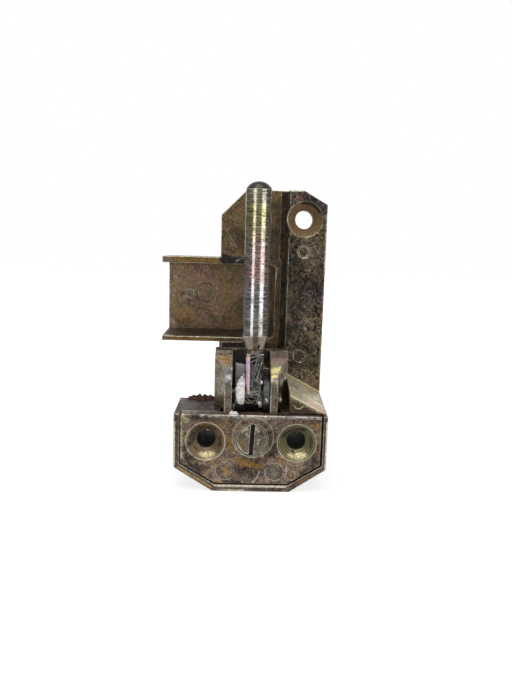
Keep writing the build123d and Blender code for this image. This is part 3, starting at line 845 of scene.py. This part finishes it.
forkLook = {**castEdges, "edge": 0.4, "wear": 0.5, "roughness": 0.3, "grainDepth": 0.035}
forkSkin = {
    **boxSkin,
    "Base": paint(142, 134, 118),
    "Dark": paint(78, 68, 56),
    "Warm": paint(150, 124, 74),
    "Bloom": paint(146, 140, 138),
    "Pale": paint(212, 208, 196),
    "Dark Amount": 0.6,
    "Warm Amount": 0.35,
    "Speck Amount": 0.65,
    "Grain Amount": 0.65,
    "Mottle Amount": 0.55,
}
forkMarks = [
    {   # brown tops of the ears
        "color": paint(84, 64, 46), "strength": 0.9, "lift": 0.3, "matte": 0.4, "breakup": 0.75,
        "strokes": [
            ((-9.4, 4.4, -5.2), (-6.0, 4.4, -5.2), 1.4, 1.6, 1.2),
            ((-8.8, 2.2, -6.5), (-6.2, 1.4, -6.9), 1.0, 0.9, 1.2),
            ((4.8, 4.2, -5.4), (8.4, 4.2, -5.4), 1.0, 1.4, 1.2),
        ],
    },
    {   # black grease along the top edges of the ears
        "color": paint(24, 18, 16), "strength": 0.95, "lift": 0.2, "matte": 0.4, "breakup": 0.5,
        "strokes": [
            ((-9.6, 5.6, -4.5), (-5.6, 5.6, -4.5), 0.3, 0.6, 0.9),
            ((4.2, 5.6, -4.5), (8.6, 5.6, -4.5), 0.2, 0.6, 0.9),
        ],
    },
    {   # golden rust streaks on the left ear
        "color": paint(176, 124, 56), "strength": 0.9, "lift": 0.5, "matte": 0.5, "breakup": 0.85,
        "strokes": [
            ((-9.2, 2.9, -6.2), (-6.0, 2.3, -6.5), 0.1, 0.8, 2.4),
            ((-9.0, 1.7, -6.9), (-6.2, 1.1, -7.3), 0.1, 0.8, 2.4),
            ((-8.0, 0.3, -7.8), (-6.6, 0.2, -7.8), 0.0, 0.6, 1.8),
        ],
    },
    {   # mauve slope of the right ear
        "color": paint(146, 116, 106), "strength": 0.75, "matte": 0.3,
        "strokes": [((5.0, 1.8, -6.6), (7.8, 1.8, -6.6), 0.9, 0.9, 0.9)],
    },
    {   # its red spot
        "color": paint(224, 104, 66), "strength": 0.95, "matte": 0.5, "breakup": 0.1,
        "strokes": [((7.7, 1.4, -7.0), (7.9, 1.0, -7.3), 0.15, 0.3, 0.3)],
    },
    {   # painted yellow highlight on the right knee
        "color": paint(252, 232, 160), "strength": 0.9, "matte": 0.3, "breakup": 0.35,
        "strokes": [
            ((4.7, -1.6, -8.9), (6.4, -1.0, -8.5), 0.4, 1.2, 1.4),
            ((4.6, -3.2, -10.0), (5.4, -3.0, -9.8), 0.1, 0.7, 1.0),
        ],
    },
    {   # dark blue gray hollow of the left knee
        "color": paint(96, 102, 114), "strength": 0.8, "breakup": 0.3,
        "strokes": [((-7.3, -1.0, -8.5), (-6.6, -4.4, -11.6), 0.5, 0.5, 0.7)],
    },
    {   # painted highlights on its sides and along the edges of the ears' fronts
        "color": paint(232, 228, 226), "strength": 0.8, "matte": 0.3, "breakup": 0.5,
        "strokes": [
            ((-8.7, 0.0, -7.8), (-7.8, -3.2, -10.0), 0.12, 0.25, 0.4),
            ((-5.65, -0.6, -8.2), (-5.6, -4.6, -11.6), 0.08, 0.25, 0.3),
            ((-7.35, -5.0, -12.0), (-7.3, -5.0, -20.0), 0.03, 0.2, 0.25),
            ((4.15, -5.0, -11.6), (4.15, -5.0, -20.0), 0.03, 0.2, 0.25),
        ],
    },
    {   # painted light on the gray wall behind the shank, which lies in shade
        "color": paint(224, 222, 216), "strength": 0.9, "matte": 0.9, "breakup": 0.1,
        "strokes": [
            ((-4.6, 3.45, -8.2), (-4.4, 3.45, -12.0), 1.1, 0.5, 0.3),
            ((-3.4, 3.45, -8.8), (-3.2, 3.45, -12.0), 0.6, 0.9, 0.3),
        ],
    },
    {   # painted shade between the ears, behind the pin
        "color": paint(20, 17, 15), "strength": 0.9, "matte": 0.6, "breakup": 0.1,
        "strokes": [((-3.3, 5.6, -6.4), (2.0, 5.6, -6.4), 2.0, 0.5, 0.5)],
    },
    {   # olive stain on the left flank
        "color": paint(134, 128, 92), "strength": 0.6,
        "strokes": [((-9.0, 0.5, -10.0), (-9.0, 0.5, -18.0), 1.6, 2.2, 1.6)],
    },
]


# Steel pieces

pinLook = {
    "steel": paint(192, 188, 181),
    "grime": paint(70, 64, 56),
    "soot": paint(22, 21, 20),
    "dome": paint(26, 26, 26),
    "foot": paint(124, 108, 90),
    "shank": paint(164, 168, 162),
    "scratch": paint(236, 238, 230),
    "tints": [paint(210, 205, 148), paint(220, 184, 176), paint(200, 199, 204)],
    "tintSteps": [(30.0, 20.0), (16.0, 11.0)],
    "bevel": 0.2,
    "lineDepth": 0.012,
    "grainSwing": 1.9,
    "brightness": [0.4, 0.9, 1.05],
    "ringZ": 14.5,
    "domeFoot": 35.6,
    "footTop": 0.6,
    "grooveTop": -3.0,
    "grooveRate": 22.0,
    "neckFoot": -4.2,
    "sootTop": -14.0,
    "fields": {   # each a noise: how it is squeezed along X, Y and Z, its detail and its roughness
        "hairs": ((0.22, 0.22, 3.6), 2.0, 0.6),
        "dashes": ((0.55, 0.55, 2.8), 3.0, 0.65),
        "blots": ((0.45, 0.45, 0.22), 4.0, 0.65),
        "tint": ((0.18, 0.18, 0.1), 2.0, 0.5),
    },
}
pinMarks = [
    {   # chip in the cone
        "color": paint(8, 8, 8), "strength": 1.0, "lift": -0.6, "breakup": 0.0,
        "strokes": [((0.95, -2.45, -2.2), (0.75, -2.3, -2.9), 0.2, 0.15, 0.2)],
    },
    {   # painted pink highlight on the shank's left chamfer
        "color": paint(252, 190, 222), "strength": 0.95, "matte": 0.8, "breakup": 0.2,
        "strokes": [((-1.75, -3.2, -5.6), (-1.65, -3.2, -13.2), 0.4, 0.25, 0.4)],
    },
    {   # orange ends of that painted highlight
        "color": paint(252, 190, 150), "strength": 0.9, "matte": 0.8, "breakup": 0.25,
        "strokes": [
            ((-1.7, -3.2, -4.7), (-1.7, -3.2, -5.3), 0.3, 0.2, 0.3),
            ((-1.7, -3.2, -13.4), (-1.7, -3.2, -14.0), 0.3, 0.2, 0.3),
        ],
    },
    {   # soot on the axle's ends
        "color": pinLook["soot"], "strength": 1.0, "matte": 0.9, "breakup": 0.0,
        "strokes": [
            ((-9.6, 0.0, tiltZ), (-4.9, 0.0, tiltZ), 2.1, 0.2, 0.1),
            ((4.9, 0.0, tiltZ), (9.2, 0.0, tiltZ), 2.1, 0.2, 0.1),
        ],
    },
    {   # painted white highlight along the shank's left edge and across its upper end
        "color": paint(240, 240, 244), "strength": 0.9, "matte": 0.4, "breakup": 0.5,
        "strokes": [
            ((-1.35, -3.25, -5.0), (-1.3, -3.25, -14.2), 0.08, 0.16, 0.3),
            ((-2.0, -3.1, -4.4), (2.1, -3.1, -4.4), 0.06, 0.14, 0.2),
        ],
    },
    {   # curved lines above the shank's dark foot
        "color": paint(206, 208, 210), "strength": 0.8, "breakup": 0.3,
        "strokes": [
            ((-1.9, -3.25, -14.5), (1.9, -3.25, -14.8), 0.02, 0.14, 0.3),
            ((-1.8, -3.25, -15.1), (1.4, -3.25, -15.4), 0.02, 0.12, 0.3),
            ((-1.9, -2.9, -18.2), (-0.9, -2.9, -18.3), 0.03, 0.14, 0.2),
        ],
    },
]


def pinFields(tree, spot):
    # noises drawn out along or around the pin, and the masks that come from them
    fields = {"grain": noiseField(tree, spot, 1.3, 3.0, 0.7)}
    for name, (sizes, detail, roughness) in pinLook["fields"].items():
        fields[name] = noiseField(tree, stretched(tree, spot, sizes), 1.0, detail, roughness)
    height = separate(tree, spot)["Z"]
    ring, neck = pinLook["ringZ"], pinLook["neckFoot"]
    upper = remap(tree, height, ring - 0.2, ring + 0.2, 0.45, 0.8)
    fields["height"] = height
    fields["dashMask"] = multiply(tree, remap(tree, fields["dashes"], 0.56, 0.68), upper)
    fields["shank"] = remap(tree, height, neck + 0.1, neck - 0.1)
    fields["foot"] = remap(tree, height, pinLook["footTop"], pinLook["footTop"] - 1.0, 0.0, 0.8)
    return fields


def turnedColor(tree, fields):
    # the cylinder with its tints, hairlines, dashes and ring, the dome and the grooved neck
    look = pinLook
    height = fields["height"]
    color = look["tints"][0]
    for tint, (start, end) in zip(look["tints"][1:], look["tintSteps"]):
        color = mixColor(tree, remap(tree, height, start, end), color, tint)
    color = mixColor(tree, remap(tree, fields["tint"], 0.4, 0.6, 0.1, 0.8), color, look["steel"])
    darkest, middle, lightest = look["brightness"]
    swing = subtract(tree, add(tree, fields["grain"], fields["hairs"]), 1.0)
    lift = add(tree, multiply(tree, swing, look["grainSwing"]), middle)
    color = shade(tree, color, clamp(tree, lift, darkest, lightest))
    blots = multiply(tree, remap(tree, fields["blots"], 0.5, 0.64), 0.4)
    color = mixColor(tree, blots, color, look["grime"])
    color = mixColor(tree, fields["dashMask"], color, look["soot"])
    ring = remap(tree, calc(tree, "ABSOLUTE", subtract(tree, height, look["ringZ"])), 0.22, 0.08)
    color = mixColor(tree, multiply(tree, ring, 0.6), color, look["steel"])
    dome = remap(tree, height, look["domeFoot"], look["domeFoot"] + 0.25, 0.0, 0.95)
    color = mixColor(tree, dome, color, look["dome"])
    color = mixColor(tree, fields["foot"], color, look["foot"])
    wave = calc(tree, "SINE", multiply(tree, height, look["grooveRate"]))
    neck = remap(tree, height, look["grooveTop"], look["grooveTop"] - 0.3)
    neck = multiply(tree, neck, subtract(tree, 1.0, fields["shank"]))
    grooves = multiply(tree, multiply(tree, remap(tree, wave, 0.0, 0.8), neck), 0.7)
    return mixColor(tree, grooves, color, look["soot"])


def shankColor(tree, spot, height):
    # the stained and scratched flat shank, with its dark foot
    look = pinLook
    sockets = {"Vector": spot, "Threshold": 0.63, "Length Scale": 0.18, "Width Scale": 7.0}
    scratch = useGroup(tree, "scratch", sockets)["Mask"]
    stain = noiseField(tree, spot, 0.7, 2.0, 0.5)
    low = remap(tree, height, look["sootTop"], look["sootTop"] - 0.6, 0.0, 0.7)
    color = mixColor(tree, remap(tree, stain, 0.4, 0.62, 0.55, 0.92), look["shank"], look["soot"])
    color = mixColor(tree, low, color, look["soot"])
    return mixColor(tree, multiply(tree, scratch, 0.8), color, look["scratch"])


def makePinMaterial():
    material, tree, shader, spot = startMaterial("pinSteel", 1.0, 0.2)
    fields = pinFields(tree, spot)
    hairs, dashMask = fields["hairs"], fields["dashMask"]
    shank = shankColor(tree, spot, fields["height"])
    color = mixColor(tree, fields["shank"], turnedColor(tree, fields), shank)
    profile = subtract(tree, hairs, multiply(tree, dashMask, 0.4))
    color, profile, matte = addMarks(tree, spot, color, profile, pinMarks)
    plug(tree, shader.inputs["Base Color"], color)
    plug(tree, shader.inputs["Metallic"], subtract(tree, 1.0, matte))
    rough = add(tree, remap(tree, hairs, 0.48, 0.64, 0.08, 0.3), multiply(tree, dashMask, 0.2))
    rough = add(tree, rough, remap(tree, fields["blots"], 0.4, 0.65, 0.0, 0.1))
    plug(tree, shader.inputs["Roughness"], add(tree, rough, multiply(tree, fields["foot"], 0.18)))
    wear = useGroup(tree, "wear", {"Vector": spot, "Reach": pinLook["bevel"] * millimetre})
    addBump(tree, shader, profile, pinLook["lineDepth"], wear["Normal"])
    return material


screwLook = {**castEdges, "edge": 0.3, "wear": 1.0, "metallic": 0.85}
screwSkin = {
    **boxSkin,
    "Base": paint(132, 120, 102),
    "Dark": paint(60, 52, 46),
    "Warm": paint(156, 124, 66),
    "Bloom": paint(130, 126, 124),
    "Patch Scale": 0.4,
    "Pale Amount": 0.5,
}
screwMarks = [
    {   # dents along the slot
        "color": paint(214, 210, 200), "strength": 0.8, "lift": 0.8, "breakup": 0.5, "face": "front",
        "strokes": [
            ((-2.6, -23.2), (-1.4, -22.3), 0.1, 0.3, 0.8),
            ((-1.6, -23.6), (-1.0, -24.4), 0.1, 0.3, 0.8),
            ((0.7, -22.3), (1.3, -22.9), 0.15, 0.3, 0.6),
            ((1.4, -25.2), (1.1, -26.4), 0.04, 0.3, 0.8),
            ((-3.6, -26.6), (-2.4, -28.4), 0.08, 0.25, 0.3),
            ((-2.4, -28.4), (-0.6, -29.0), 0.06, 0.2, 0.3),
        ],
    },
    {   # gold stain left of the slot
        "color": paint(160, 122, 56), "strength": 0.6, "face": "front",
        "strokes": [((-2.8, -26.2), (-2.0, -27.2), 0.2, 0.7, 1.0)],
    },
    {   # black arc at the upper right
        "color": paint(18, 16, 14), "strength": 0.9, "lift": -0.5, "breakup": 0.3, "face": "front",
        "strokes": [
            ((1.2, -21.8), (2.6, -22.8), 0.06, 0.14, 0.2),
            ((2.6, -22.8), (3.3, -24.2), 0.06, 0.14, 0.2),
        ],
    },
    {   # rust in the slot
        "color": paint(46, 32, 24), "strength": 1.0, "matte": 0.9, "breakup": 0.0,
        "strokes": [((-0.1, -5.6, -21.2), (-0.4, -5.6, -29.4), 0.75, 0.15, 0.1)],
    },
]
rivetLook = {**castEdges, "edge": 0.25, "wear": 0.7, "roughness": 0.45, "grainDepth": 0.08}
rivetSkin = {
    **boxSkin,
    "Base": paint(124, 108, 88),
    "Dark": paint(66, 52, 40),
    "Warm": paint(156, 116, 48),
    "Bloom": paint(126, 118, 112),
    "Patch Scale": 0.45,
    "Warm Amount": 0.8,
}
grayRivetSkin = {
    **rivetSkin,
    "Base": paint(104, 96, 90),
    "Warm": paint(120, 104, 84),
}
rivetMarks = [
    {   # hammered dents
        "color": paint(158, 146, 128), "strength": 0.5, "lift": 0.9, "face": "front",
        "strokes": [
            ((-7.6, -32.6), (-6.4, -32.4), 0.05, 0.4, 1.0),
            ((-7.0, -34.2), (-6.0, -33.6), 0.05, 0.4, 1.0),
            ((4.8, -33.0), (5.8, -32.8), 0.05, 0.4, 1.0),
            ((5.2, -34.0), (6.2, -33.8), 0.05, 0.4, 1.0),
        ],
    },
]
# a plain material is patches from color to shade over a noise step, under a fine grain
nylonLook = {
    "color": paint(46, 44, 45),
    "shade": paint(96, 92, 94),
    "patches": (0.6, 4.0, 0.6),
    "step": (0.4, 0.62),
    "soot": paint(10, 9, 9),
    "sootTop": -16.2,
    "roughness": 0.55,
    "grain": (4.0, 2.0, 0.6),
    "grainDepth": 0.03,
}
greaseLook = {
    "color": paint(236, 232, 232),
    "shade": paint(188, 180, 182),
    "patches": (0.9, 4.0, 0.6),
    "step": (0.55, 0.38),
    "roughness": 0.4,
    "grain": (0.9, 4.0, 0.6),
    "grainDepth": 0.1,
    "glow": 0.25,
    "glowReach": 0.6,
}
rustLook = {
    "color": paint(98, 52, 38),
    "shade": paint(34, 22, 18),
    "patches": (0.9, 4.0, 0.7),
    "step": (0.6, 0.42),
    "speck": paint(140, 92, 58),
    "roughness": 0.85,
    "grain": (5.0, 3.0, 0.7),
    "grainDepth": 0.15,
}


def makePlain(name, look):
    material, tree, shader, spot = startMaterial(name, 0.0, look["roughness"])
    patches = noiseField(tree, spot, *look["patches"])
    grain = noiseField(tree, spot, *look["grain"])
    color = mixColor(tree, remap(tree, patches, *look["step"]), look["color"], look["shade"])
    if "speck" in look:
        specks = multiply(tree, remap(tree, grain, 0.55, 0.7), 0.6)
        color = mixColor(tree, specks, color, look["speck"])
    if "soot" in look:
        low = remap(tree, separate(tree, spot)["Z"], look["sootTop"], look["sootTop"] - 0.8)
        color = mixColor(tree, low, color, look["soot"])
    if "glow" in look:
        shader.inputs["Subsurface Weight"].default_value = look["glow"]
        shader.inputs["Subsurface Radius"].default_value = (0.8, 0.7, 0.6)
        shader.inputs["Subsurface Scale"].default_value = look["glowReach"] * millimetre
    plug(tree, shader.inputs["Base Color"], color)
    addBump(tree, shader, grain, look["grainDepth"])
    return material


materials = {
    "frame_housing": makeCasting(
        "housingCasting", castEdges, plateSkin, housingMarks, housingRings, addRegions
    ),
    "front_cover": makeCasting(
        "coverCasting", coverLook, coverSkin, coverMarks, coverRings, addCountersinks
    ),
    "tilt_fork": makeCasting("forkCasting", forkLook, forkSkin, forkMarks),
    "sash_pin": makePinMaterial(),
    "adjusting_screw": makeCasting("screwSteel", screwLook, screwSkin, screwMarks),
    "cover_rivet_left": makeCasting("rustyRivet", rivetLook, rivetSkin, rivetMarks),
    "cover_rivet_right": makeCasting("grayRivet", rivetLook, grayRivetSkin, rivetMarks),
    "spacer_left": makePlain("spacerNylon", nylonLook),
}
sameFinish = {
    "tilt_axle": "sash_pin",
    "screw_clip": "adjusting_screw",
    "spacer_right": "spacer_left",
}
for nodeName, node in nodes.items():
    material = materials[sameFinish.get(nodeName, nodeName)]
    for slot in node.material_slots:
        slot.material = material
print("finishes on", len(nodes), "nodes")


# Grease, rust and dirt that stand on the surface

def onFront(carrier):
    # u is X, v is Z, and the lump stands towards the viewer from carrier(z)
    return lambda u, v, height: (u, carrier(v) - height, v)


def onTop(level):
    return lambda u, v, height: (u, v, level + height)


def spacerFront(z):
    return -math.sqrt(max(0.5, spacerRadius ** 2 - (z - tiltZ) ** 2))


def shankFront(z):
    return -pinRadius


def shankFoot(z):
    return -math.sqrt(max(0.4, pinRadius ** 2 - (z - tiltZ) ** 2))


greaseMaterial = makePlain("whiteGrease", greaseLook)
rustMaterial = makePlain("rustCrust", rustLook)
greaseBit = {"slot": "spacer_nylon", "material": greaseMaterial}
lumps = {
    "grease_left": {
        "outline": [
            (-2.4, -9.7), (-2.8, -9.9), (-3.0, -10.4), (-3.35, -10.4), (-3.5, -11.0), (-3.9, -11.0),
            (-3.95, -11.6), (-4.3, -11.8), (-4.3, -12.5), (-4.6, -12.9), (-4.5, -13.8), (-4.45, -14.5),
            (-4.3, -15.4), (-4.1, -16.0), (-3.7, -16.7), (-2.8, -16.85), (-2.4, -16.4), (-2.3, -14.0),
            (-2.3, -11.5),
        ],
        "place": onFront(spacerFront),
        "rise": 0.6,
        "seed": 3,
        "body": "fork",
        **greaseBit,
    },
    "grease_right_upper": {
        "outline": [(1.55, -11.2), (2.05, -11.0), (2.1, -11.7), (1.7, -11.8)],
        "place": onFront(shankFront),
        "rise": 0.25,
        "seed": 5,
        "body": "pin",
        **greaseBit,
    },
    "grease_right_lower": {
        "outline": [
            (1.2, -16.2), (1.8, -16.3), (2.15, -17.0), (2.1, -18.2), (1.5, -18.4), (1.3, -17.6),
            (1.0, -16.9),
        ],
        "place": onFront(shankFoot),
        "rise": 0.25,
        "seed": 8,
        "body": "pin",
        **greaseBit,
    },
    "grease_spot_right": {
        "outline": [(2.85, -15.1), (3.2, -15.3), (3.5, -16.0), (3.35, -16.15), (3.0, -15.7)],
        "place": onFront(spacerFront),
        "rise": 0.15,
        "seed": 9,
        "body": "fork",
        **greaseBit,
    },
    "rust_crust_box": {
        "outline": [
            (-17.6, 9.2), (-15.4, 8.2), (-13.0, 7.6), (-12.7, 8.2), (-10.4, 8.6), (-9.9, 9.1), (-10.2, 9.7),
            (-13.0, 9.8), (-16.0, 9.8),
        ],
        "place": onTop(boxTop),
        "rise": 0.95,
        "rough": 0.4,
        "seed": 12,
        "body": "housing",
        "slot": "housing_casting",
        "material": rustMaterial,
    },
    "pale_chip": {
        "outline": [
            (-6.1, -5.8), (-5.2, -6.2), (-4.4, -6.0), (-3.8, -5.9), (-4.1, -5.4), (-5.2, -5.3),
            (-6.0, -5.4),
        ],
        "place": onTop(boxTop),
        "rise": 0.7,
        "rough": 0.35,
        "seed": 15,
        "body": "housing",
        "slot": "cover_casting",
        "material": greaseMaterial,
    },
}
lumpShape = {"rings": 9, "around": 48, "rough": 0.2, "bumpScale": 1.6, "crown": 2.4, "sink": 0.04}


def curvePoint(outline, share):
    # the point at this share of the way round a smooth loop through the outline
    count = len(outline)
    spot = share * count
    index = int(spot) % count
    step = spot - int(spot)
    found = []
    for a, b, c, d in zip(*(outline[(index + shift) % count] for shift in (-1, 0, 1, 2))):
        cubic, square = 3 * b - a - 3 * c + d, 2 * a - 5 * b + 4 * c - d
        bend = cubic * step ** 3 + square * step ** 2 + (c - a) * step
        found.append(b + 0.5 * bend)
    return found


def lumpFaces(rings, around):
    # the upper side, then the lower one, each closed by a fan at its middle, and joined at the rim
    faces = []
    block = rings * around + 1
    for side in (0, 1):
        start = side * block
        for ring in range(rings - 1):
            for turn in range(around):
                a = start + ring * around + turn
                b = start + ring * around + (turn + 1) % around
                quad = (a, b, b + around, a + around)
                faces.append(quad if side else quad[::-1])
        for turn in range(around):
            tip = (start + block - 1, start + (turn + 1) % around, start + turn)
            faces.append(tip if side else tip[::-1])
    outer = (rings - 1) * around
    for turn in range(around):
        a, b = outer + turn, outer + (turn + 1) % around
        faces.append((a, b, b + block, a + block))
    return faces


def makeLump(name, values):
    # a closed lump: outline is a loop of (u, v) points, place turns (u, v, height) into a point in space
    outline, place, rise = values["outline"], values["place"], values["rise"]
    rings, around, sink = lumpShape["rings"], lumpShape["around"], -lumpShape["sink"]
    rough = 2 * values.get("rough", lumpShape["rough"])
    random.seed(values["seed"])
    offset = Vector((random.uniform(-50, 50), random.uniform(-50, 50), values["seed"]))
    centre = [sum(point[axis] for point in outline) / len(outline) for axis in (0, 1)]
    corners = []
    for upper in (True, False):
        for ring in range(1, rings + 1):
            share = ring / rings
            for turn in range(around):
                edge = curvePoint(outline, turn / around)
                u, v = (centre[axis] + (edge[axis] - centre[axis]) * share for axis in (0, 1))
                bump = 1 + rough * noise.noise(Vector((u, v, 0)) * lumpShape["bumpScale"] + offset)
                top = rise * math.sqrt(max(0.0, 1 - share ** lumpShape["crown"])) * bump
                corners.append(place(u, v, top if upper else sink))
        corners.append(place(*centre, rise if upper else sink))
    mesh = bpy.data.meshes.new(name)
    mesh.from_pydata([toMetres(corner) for corner in corners], [], lumpFaces(rings, around))
    mesh.validate()
    mesh.polygons.foreach_set("use_smooth", [True] * len(mesh.polygons))
    mesh.materials.append(values["material"])
    piece = bpy.data.objects.new(name, mesh)
    bpy.context.scene.collection.objects.link(piece)
    return piece


for name, values in lumps.items():
    lump = makeLump(name, values)
    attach(lump, values["body"])
print("lumps made:", len(lumps))


# Floor, light and camera

stageLook = {
    "floorSize": 3.0,
    "floorColor": paint(246, 246, 246),
    "floorGap": 0.02,
    "glowShare": [0.62, 1.0],
    "glowReach": [0.08, 0.3],
    "glowStrength": 1.28,
    "ambient": 0.35,
    "strips": [
        {"name": "leftStrip", "azimuth": -35.0, "width": 0.105, "height": 0.4, "power": 0.12},
        {"name": "rightStrip", "azimuth": 45.0, "width": 0.17, "height": 0.4, "power": 0.22},
    ],
    "stripDistance": 0.28,
    "stripMiddle": 60.0,
    "keyPower": 1.45,
    "keySize": 0.4,
    "keyPlace": (-0.05, -0.12, 0.5),
    "cardColor": (1.0, 0.97, 0.92),
    "cardSteps": 12,
    "cardDistance": 0.17,
    "cards": [
        {"name": "frontCard", "from": -24.0, "to": 27.0, "bottom": -38.0, "top": 150.0, "glow": 0.27},
        {"name": "leftCard", "from": -142.0, "to": -46.0, "bottom": -38.0, "top": 90.0, "glow": 0.2},
        {"name": "rightCard", "from": 63.0, "to": 128.0, "bottom": -38.0, "top": 90.0, "glow": 0.18},
    ],
    "floorCard": {"name": "floorCard", "from": -27.0, "to": 34.0, "near": 0.03, "far": 0.17, "glow": 0.3},
    "floorCardLift": 0.4,
}


def startGlow(name, color, strength):
    # a material with a bare emission in place of the usual shader
    material = bpy.data.materials.new(name)
    material.use_nodes = True
    tree = material.node_tree
    tree.nodes.remove(tree.nodes["Principled BSDF"])
    glow = addNode(tree, "ShaderNodeEmission", {"Color": color, "Strength": strength}).outputs[0]
    surface = tree.nodes["Material Output"].inputs["Surface"]
    plug(tree, surface, glow)
    return material, tree, surface, glow


def addStageMesh(name, points, faces, material):
    mesh = bpy.data.meshes.new(name)
    mesh.from_pydata(points, [], faces)
    piece = bpy.data.objects.new(name, mesh)
    piece.data.materials.append(material)
    bpy.context.scene.collection.objects.link(piece)
    return piece


def compass(azimuth, distance, height):
    # azimuth 0 is in front of the hinge, and it grows to the right
    angle = math.radians(azimuth)
    return Vector((distance * math.sin(angle), -distance * math.cos(angle), height * millimetre))


def addCard(card, *edges):
    # a curved card that only reflections see, between two edges of (distance, height)
    steps = stageLook["cardSteps"]
    span = [card["from"] + (card["to"] - card["from"]) * step / steps for step in range(steps + 1)]
    points = [compass(angle, *edge) for edge in edges for angle in span]
    faces = [(step, step + 1, step + steps + 2, step + steps + 1) for step in range(steps)]
    material = startGlow(card["name"], stageLook["cardColor"], card["glow"])[0]
    piece = addStageMesh(card["name"], points, faces, material)
    piece.visible_camera = False
    piece.visible_diffuse = False
    piece.visible_shadow = False
    piece.visible_transmission = False


def addCards():
    distance = stageLook["cardDistance"]
    for card in stageLook["cards"]:
        addCard(card, (distance, card["bottom"]), (distance, card["top"]))
    card = stageLook["floorCard"]
    level = cadBox[0][2] / millimetre + stageLook["floorCardLift"]
    addCard(card, (card["near"], level), (card["far"], level))


def seenDirectly(tree):
    # 1 where the camera or a reflection looks, 0 where light is only gathered
    path = tree.nodes.new("ShaderNodeLightPath").outputs
    seen = calc(tree, "MAXIMUM", path["Is Camera Ray"], path["Is Glossy Ray"])
    return calc(tree, "MAXIMUM", seen, path["Is Transmission Ray"])


def addFloor():
    # white for the eye, pale for the light, and it keeps the shadow near the hinge
    look = stageLook
    half = look["floorSize"] / 2
    level = cadBox[0][2] - look["floorGap"] * millimetre
    points = [(-half, -half, level), (half, -half, level), (half, half, level), (-half, half, level)]
    material, tree, surface, glow = startGlow("paleFloor", (1.0, 1.0, 1.0), look["glowStrength"])
    matte = addNode(tree, "ShaderNodeBsdfDiffuse", {"Color": look["floorColor"]}).outputs[0]
    place = stretched(tree, addNode(tree, "ShaderNodeTexCoord").outputs["Object"], (1, 1, 0))
    distance = vectorCalc(tree, "LENGTH", place, output="Value")
    spread = remap(tree, distance, *look["glowReach"], *look["glowShare"])
    share = multiply(tree, seenDirectly(tree), spread)
    both = addNode(tree, "ShaderNodeMixShader", {0: share, 1: matte, 2: glow})
    plug(tree, surface, both.outputs[0])
    addStageMesh("floor", points, [(0, 1, 2, 3)], material)


def addWorld():
    world = bpy.data.worlds.new("studio")
    bpy.context.scene.world = world
    world.use_nodes = True
    tree = world.node_tree
    background = tree.nodes["Background"]
    background.inputs["Color"].default_value = (1.0, 1.0, 1.0, 1.0)
    strength = remap(tree, seenDirectly(tree), 0.0, 1.0, stageLook["ambient"], 1.0)
    plug(tree, background.inputs["Strength"], strength)


def addAreaLight(name, location, target, width, height, power):
    lamp = bpy.data.lights.new(name, "AREA")
    lamp.shape = "RECTANGLE"
    lamp.size = width
    lamp.size_y = height
    lamp.energy = power
    holder = bpy.data.objects.new(name, lamp)
    holder.location = location
    holder.rotation_euler = (Vector(target) - Vector(location)).to_track_quat("-Z", "Y").to_euler()
    holder.visible_camera = False
    bpy.context.scene.collection.objects.link(holder)


def addLights():
    look = stageLook
    for strip in look["strips"]:
        place = compass(strip["azimuth"], look["stripDistance"], look["stripMiddle"])
        target = (0.0, 0.0, place.z)
        addAreaLight(strip["name"], place, target, strip["width"], strip["height"], strip["power"])
    addAreaLight("softKey", look["keyPlace"], (0, 0, 0), look["keySize"], look["keySize"], look["keyPower"])


cameraLook = {
    "location": (-3.56, -150.17, 21.28),
    "pitch": -8.66,
    "yaw": 1.45,
    "roll": 1.65,
    "lens": 31.75,
    "sensor": 36.0,
    "nearest": 5.0,
}


def addCamera():
    look = cameraLook
    pitch, yaw, roll = (math.radians(look[name]) for name in ("pitch", "yaw", "roll"))
    forward = Vector((math.sin(yaw) * math.cos(pitch), math.cos(yaw) * math.cos(pitch), math.sin(pitch)))
    level = forward.cross(Vector((0, 0, 1))).normalized()
    upright = level.cross(forward)
    right = level * math.cos(roll) + upright * math.sin(roll)
    up = upright * math.cos(roll) - level * math.sin(roll)
    camera = bpy.data.cameras.new("camera")
    camera.lens = look["lens"]
    camera.sensor_width = look["sensor"]
    camera.sensor_fit = "AUTO"
    camera.clip_start = look["nearest"] * millimetre
    holder = bpy.data.objects.new("camera", camera)
    axes = Matrix((right, up, -forward)).transposed().to_4x4()
    holder.matrix_world = Matrix.Translation(toMetres(look["location"])) @ axes
    bpy.context.scene.collection.objects.link(holder)
    bpy.context.scene.camera = holder


addFloor()
addCards()
addWorld()
addLights()
addCamera()
bpy.context.scene.view_settings.view_transform = "Standard"
print("stage, lights and camera ready")
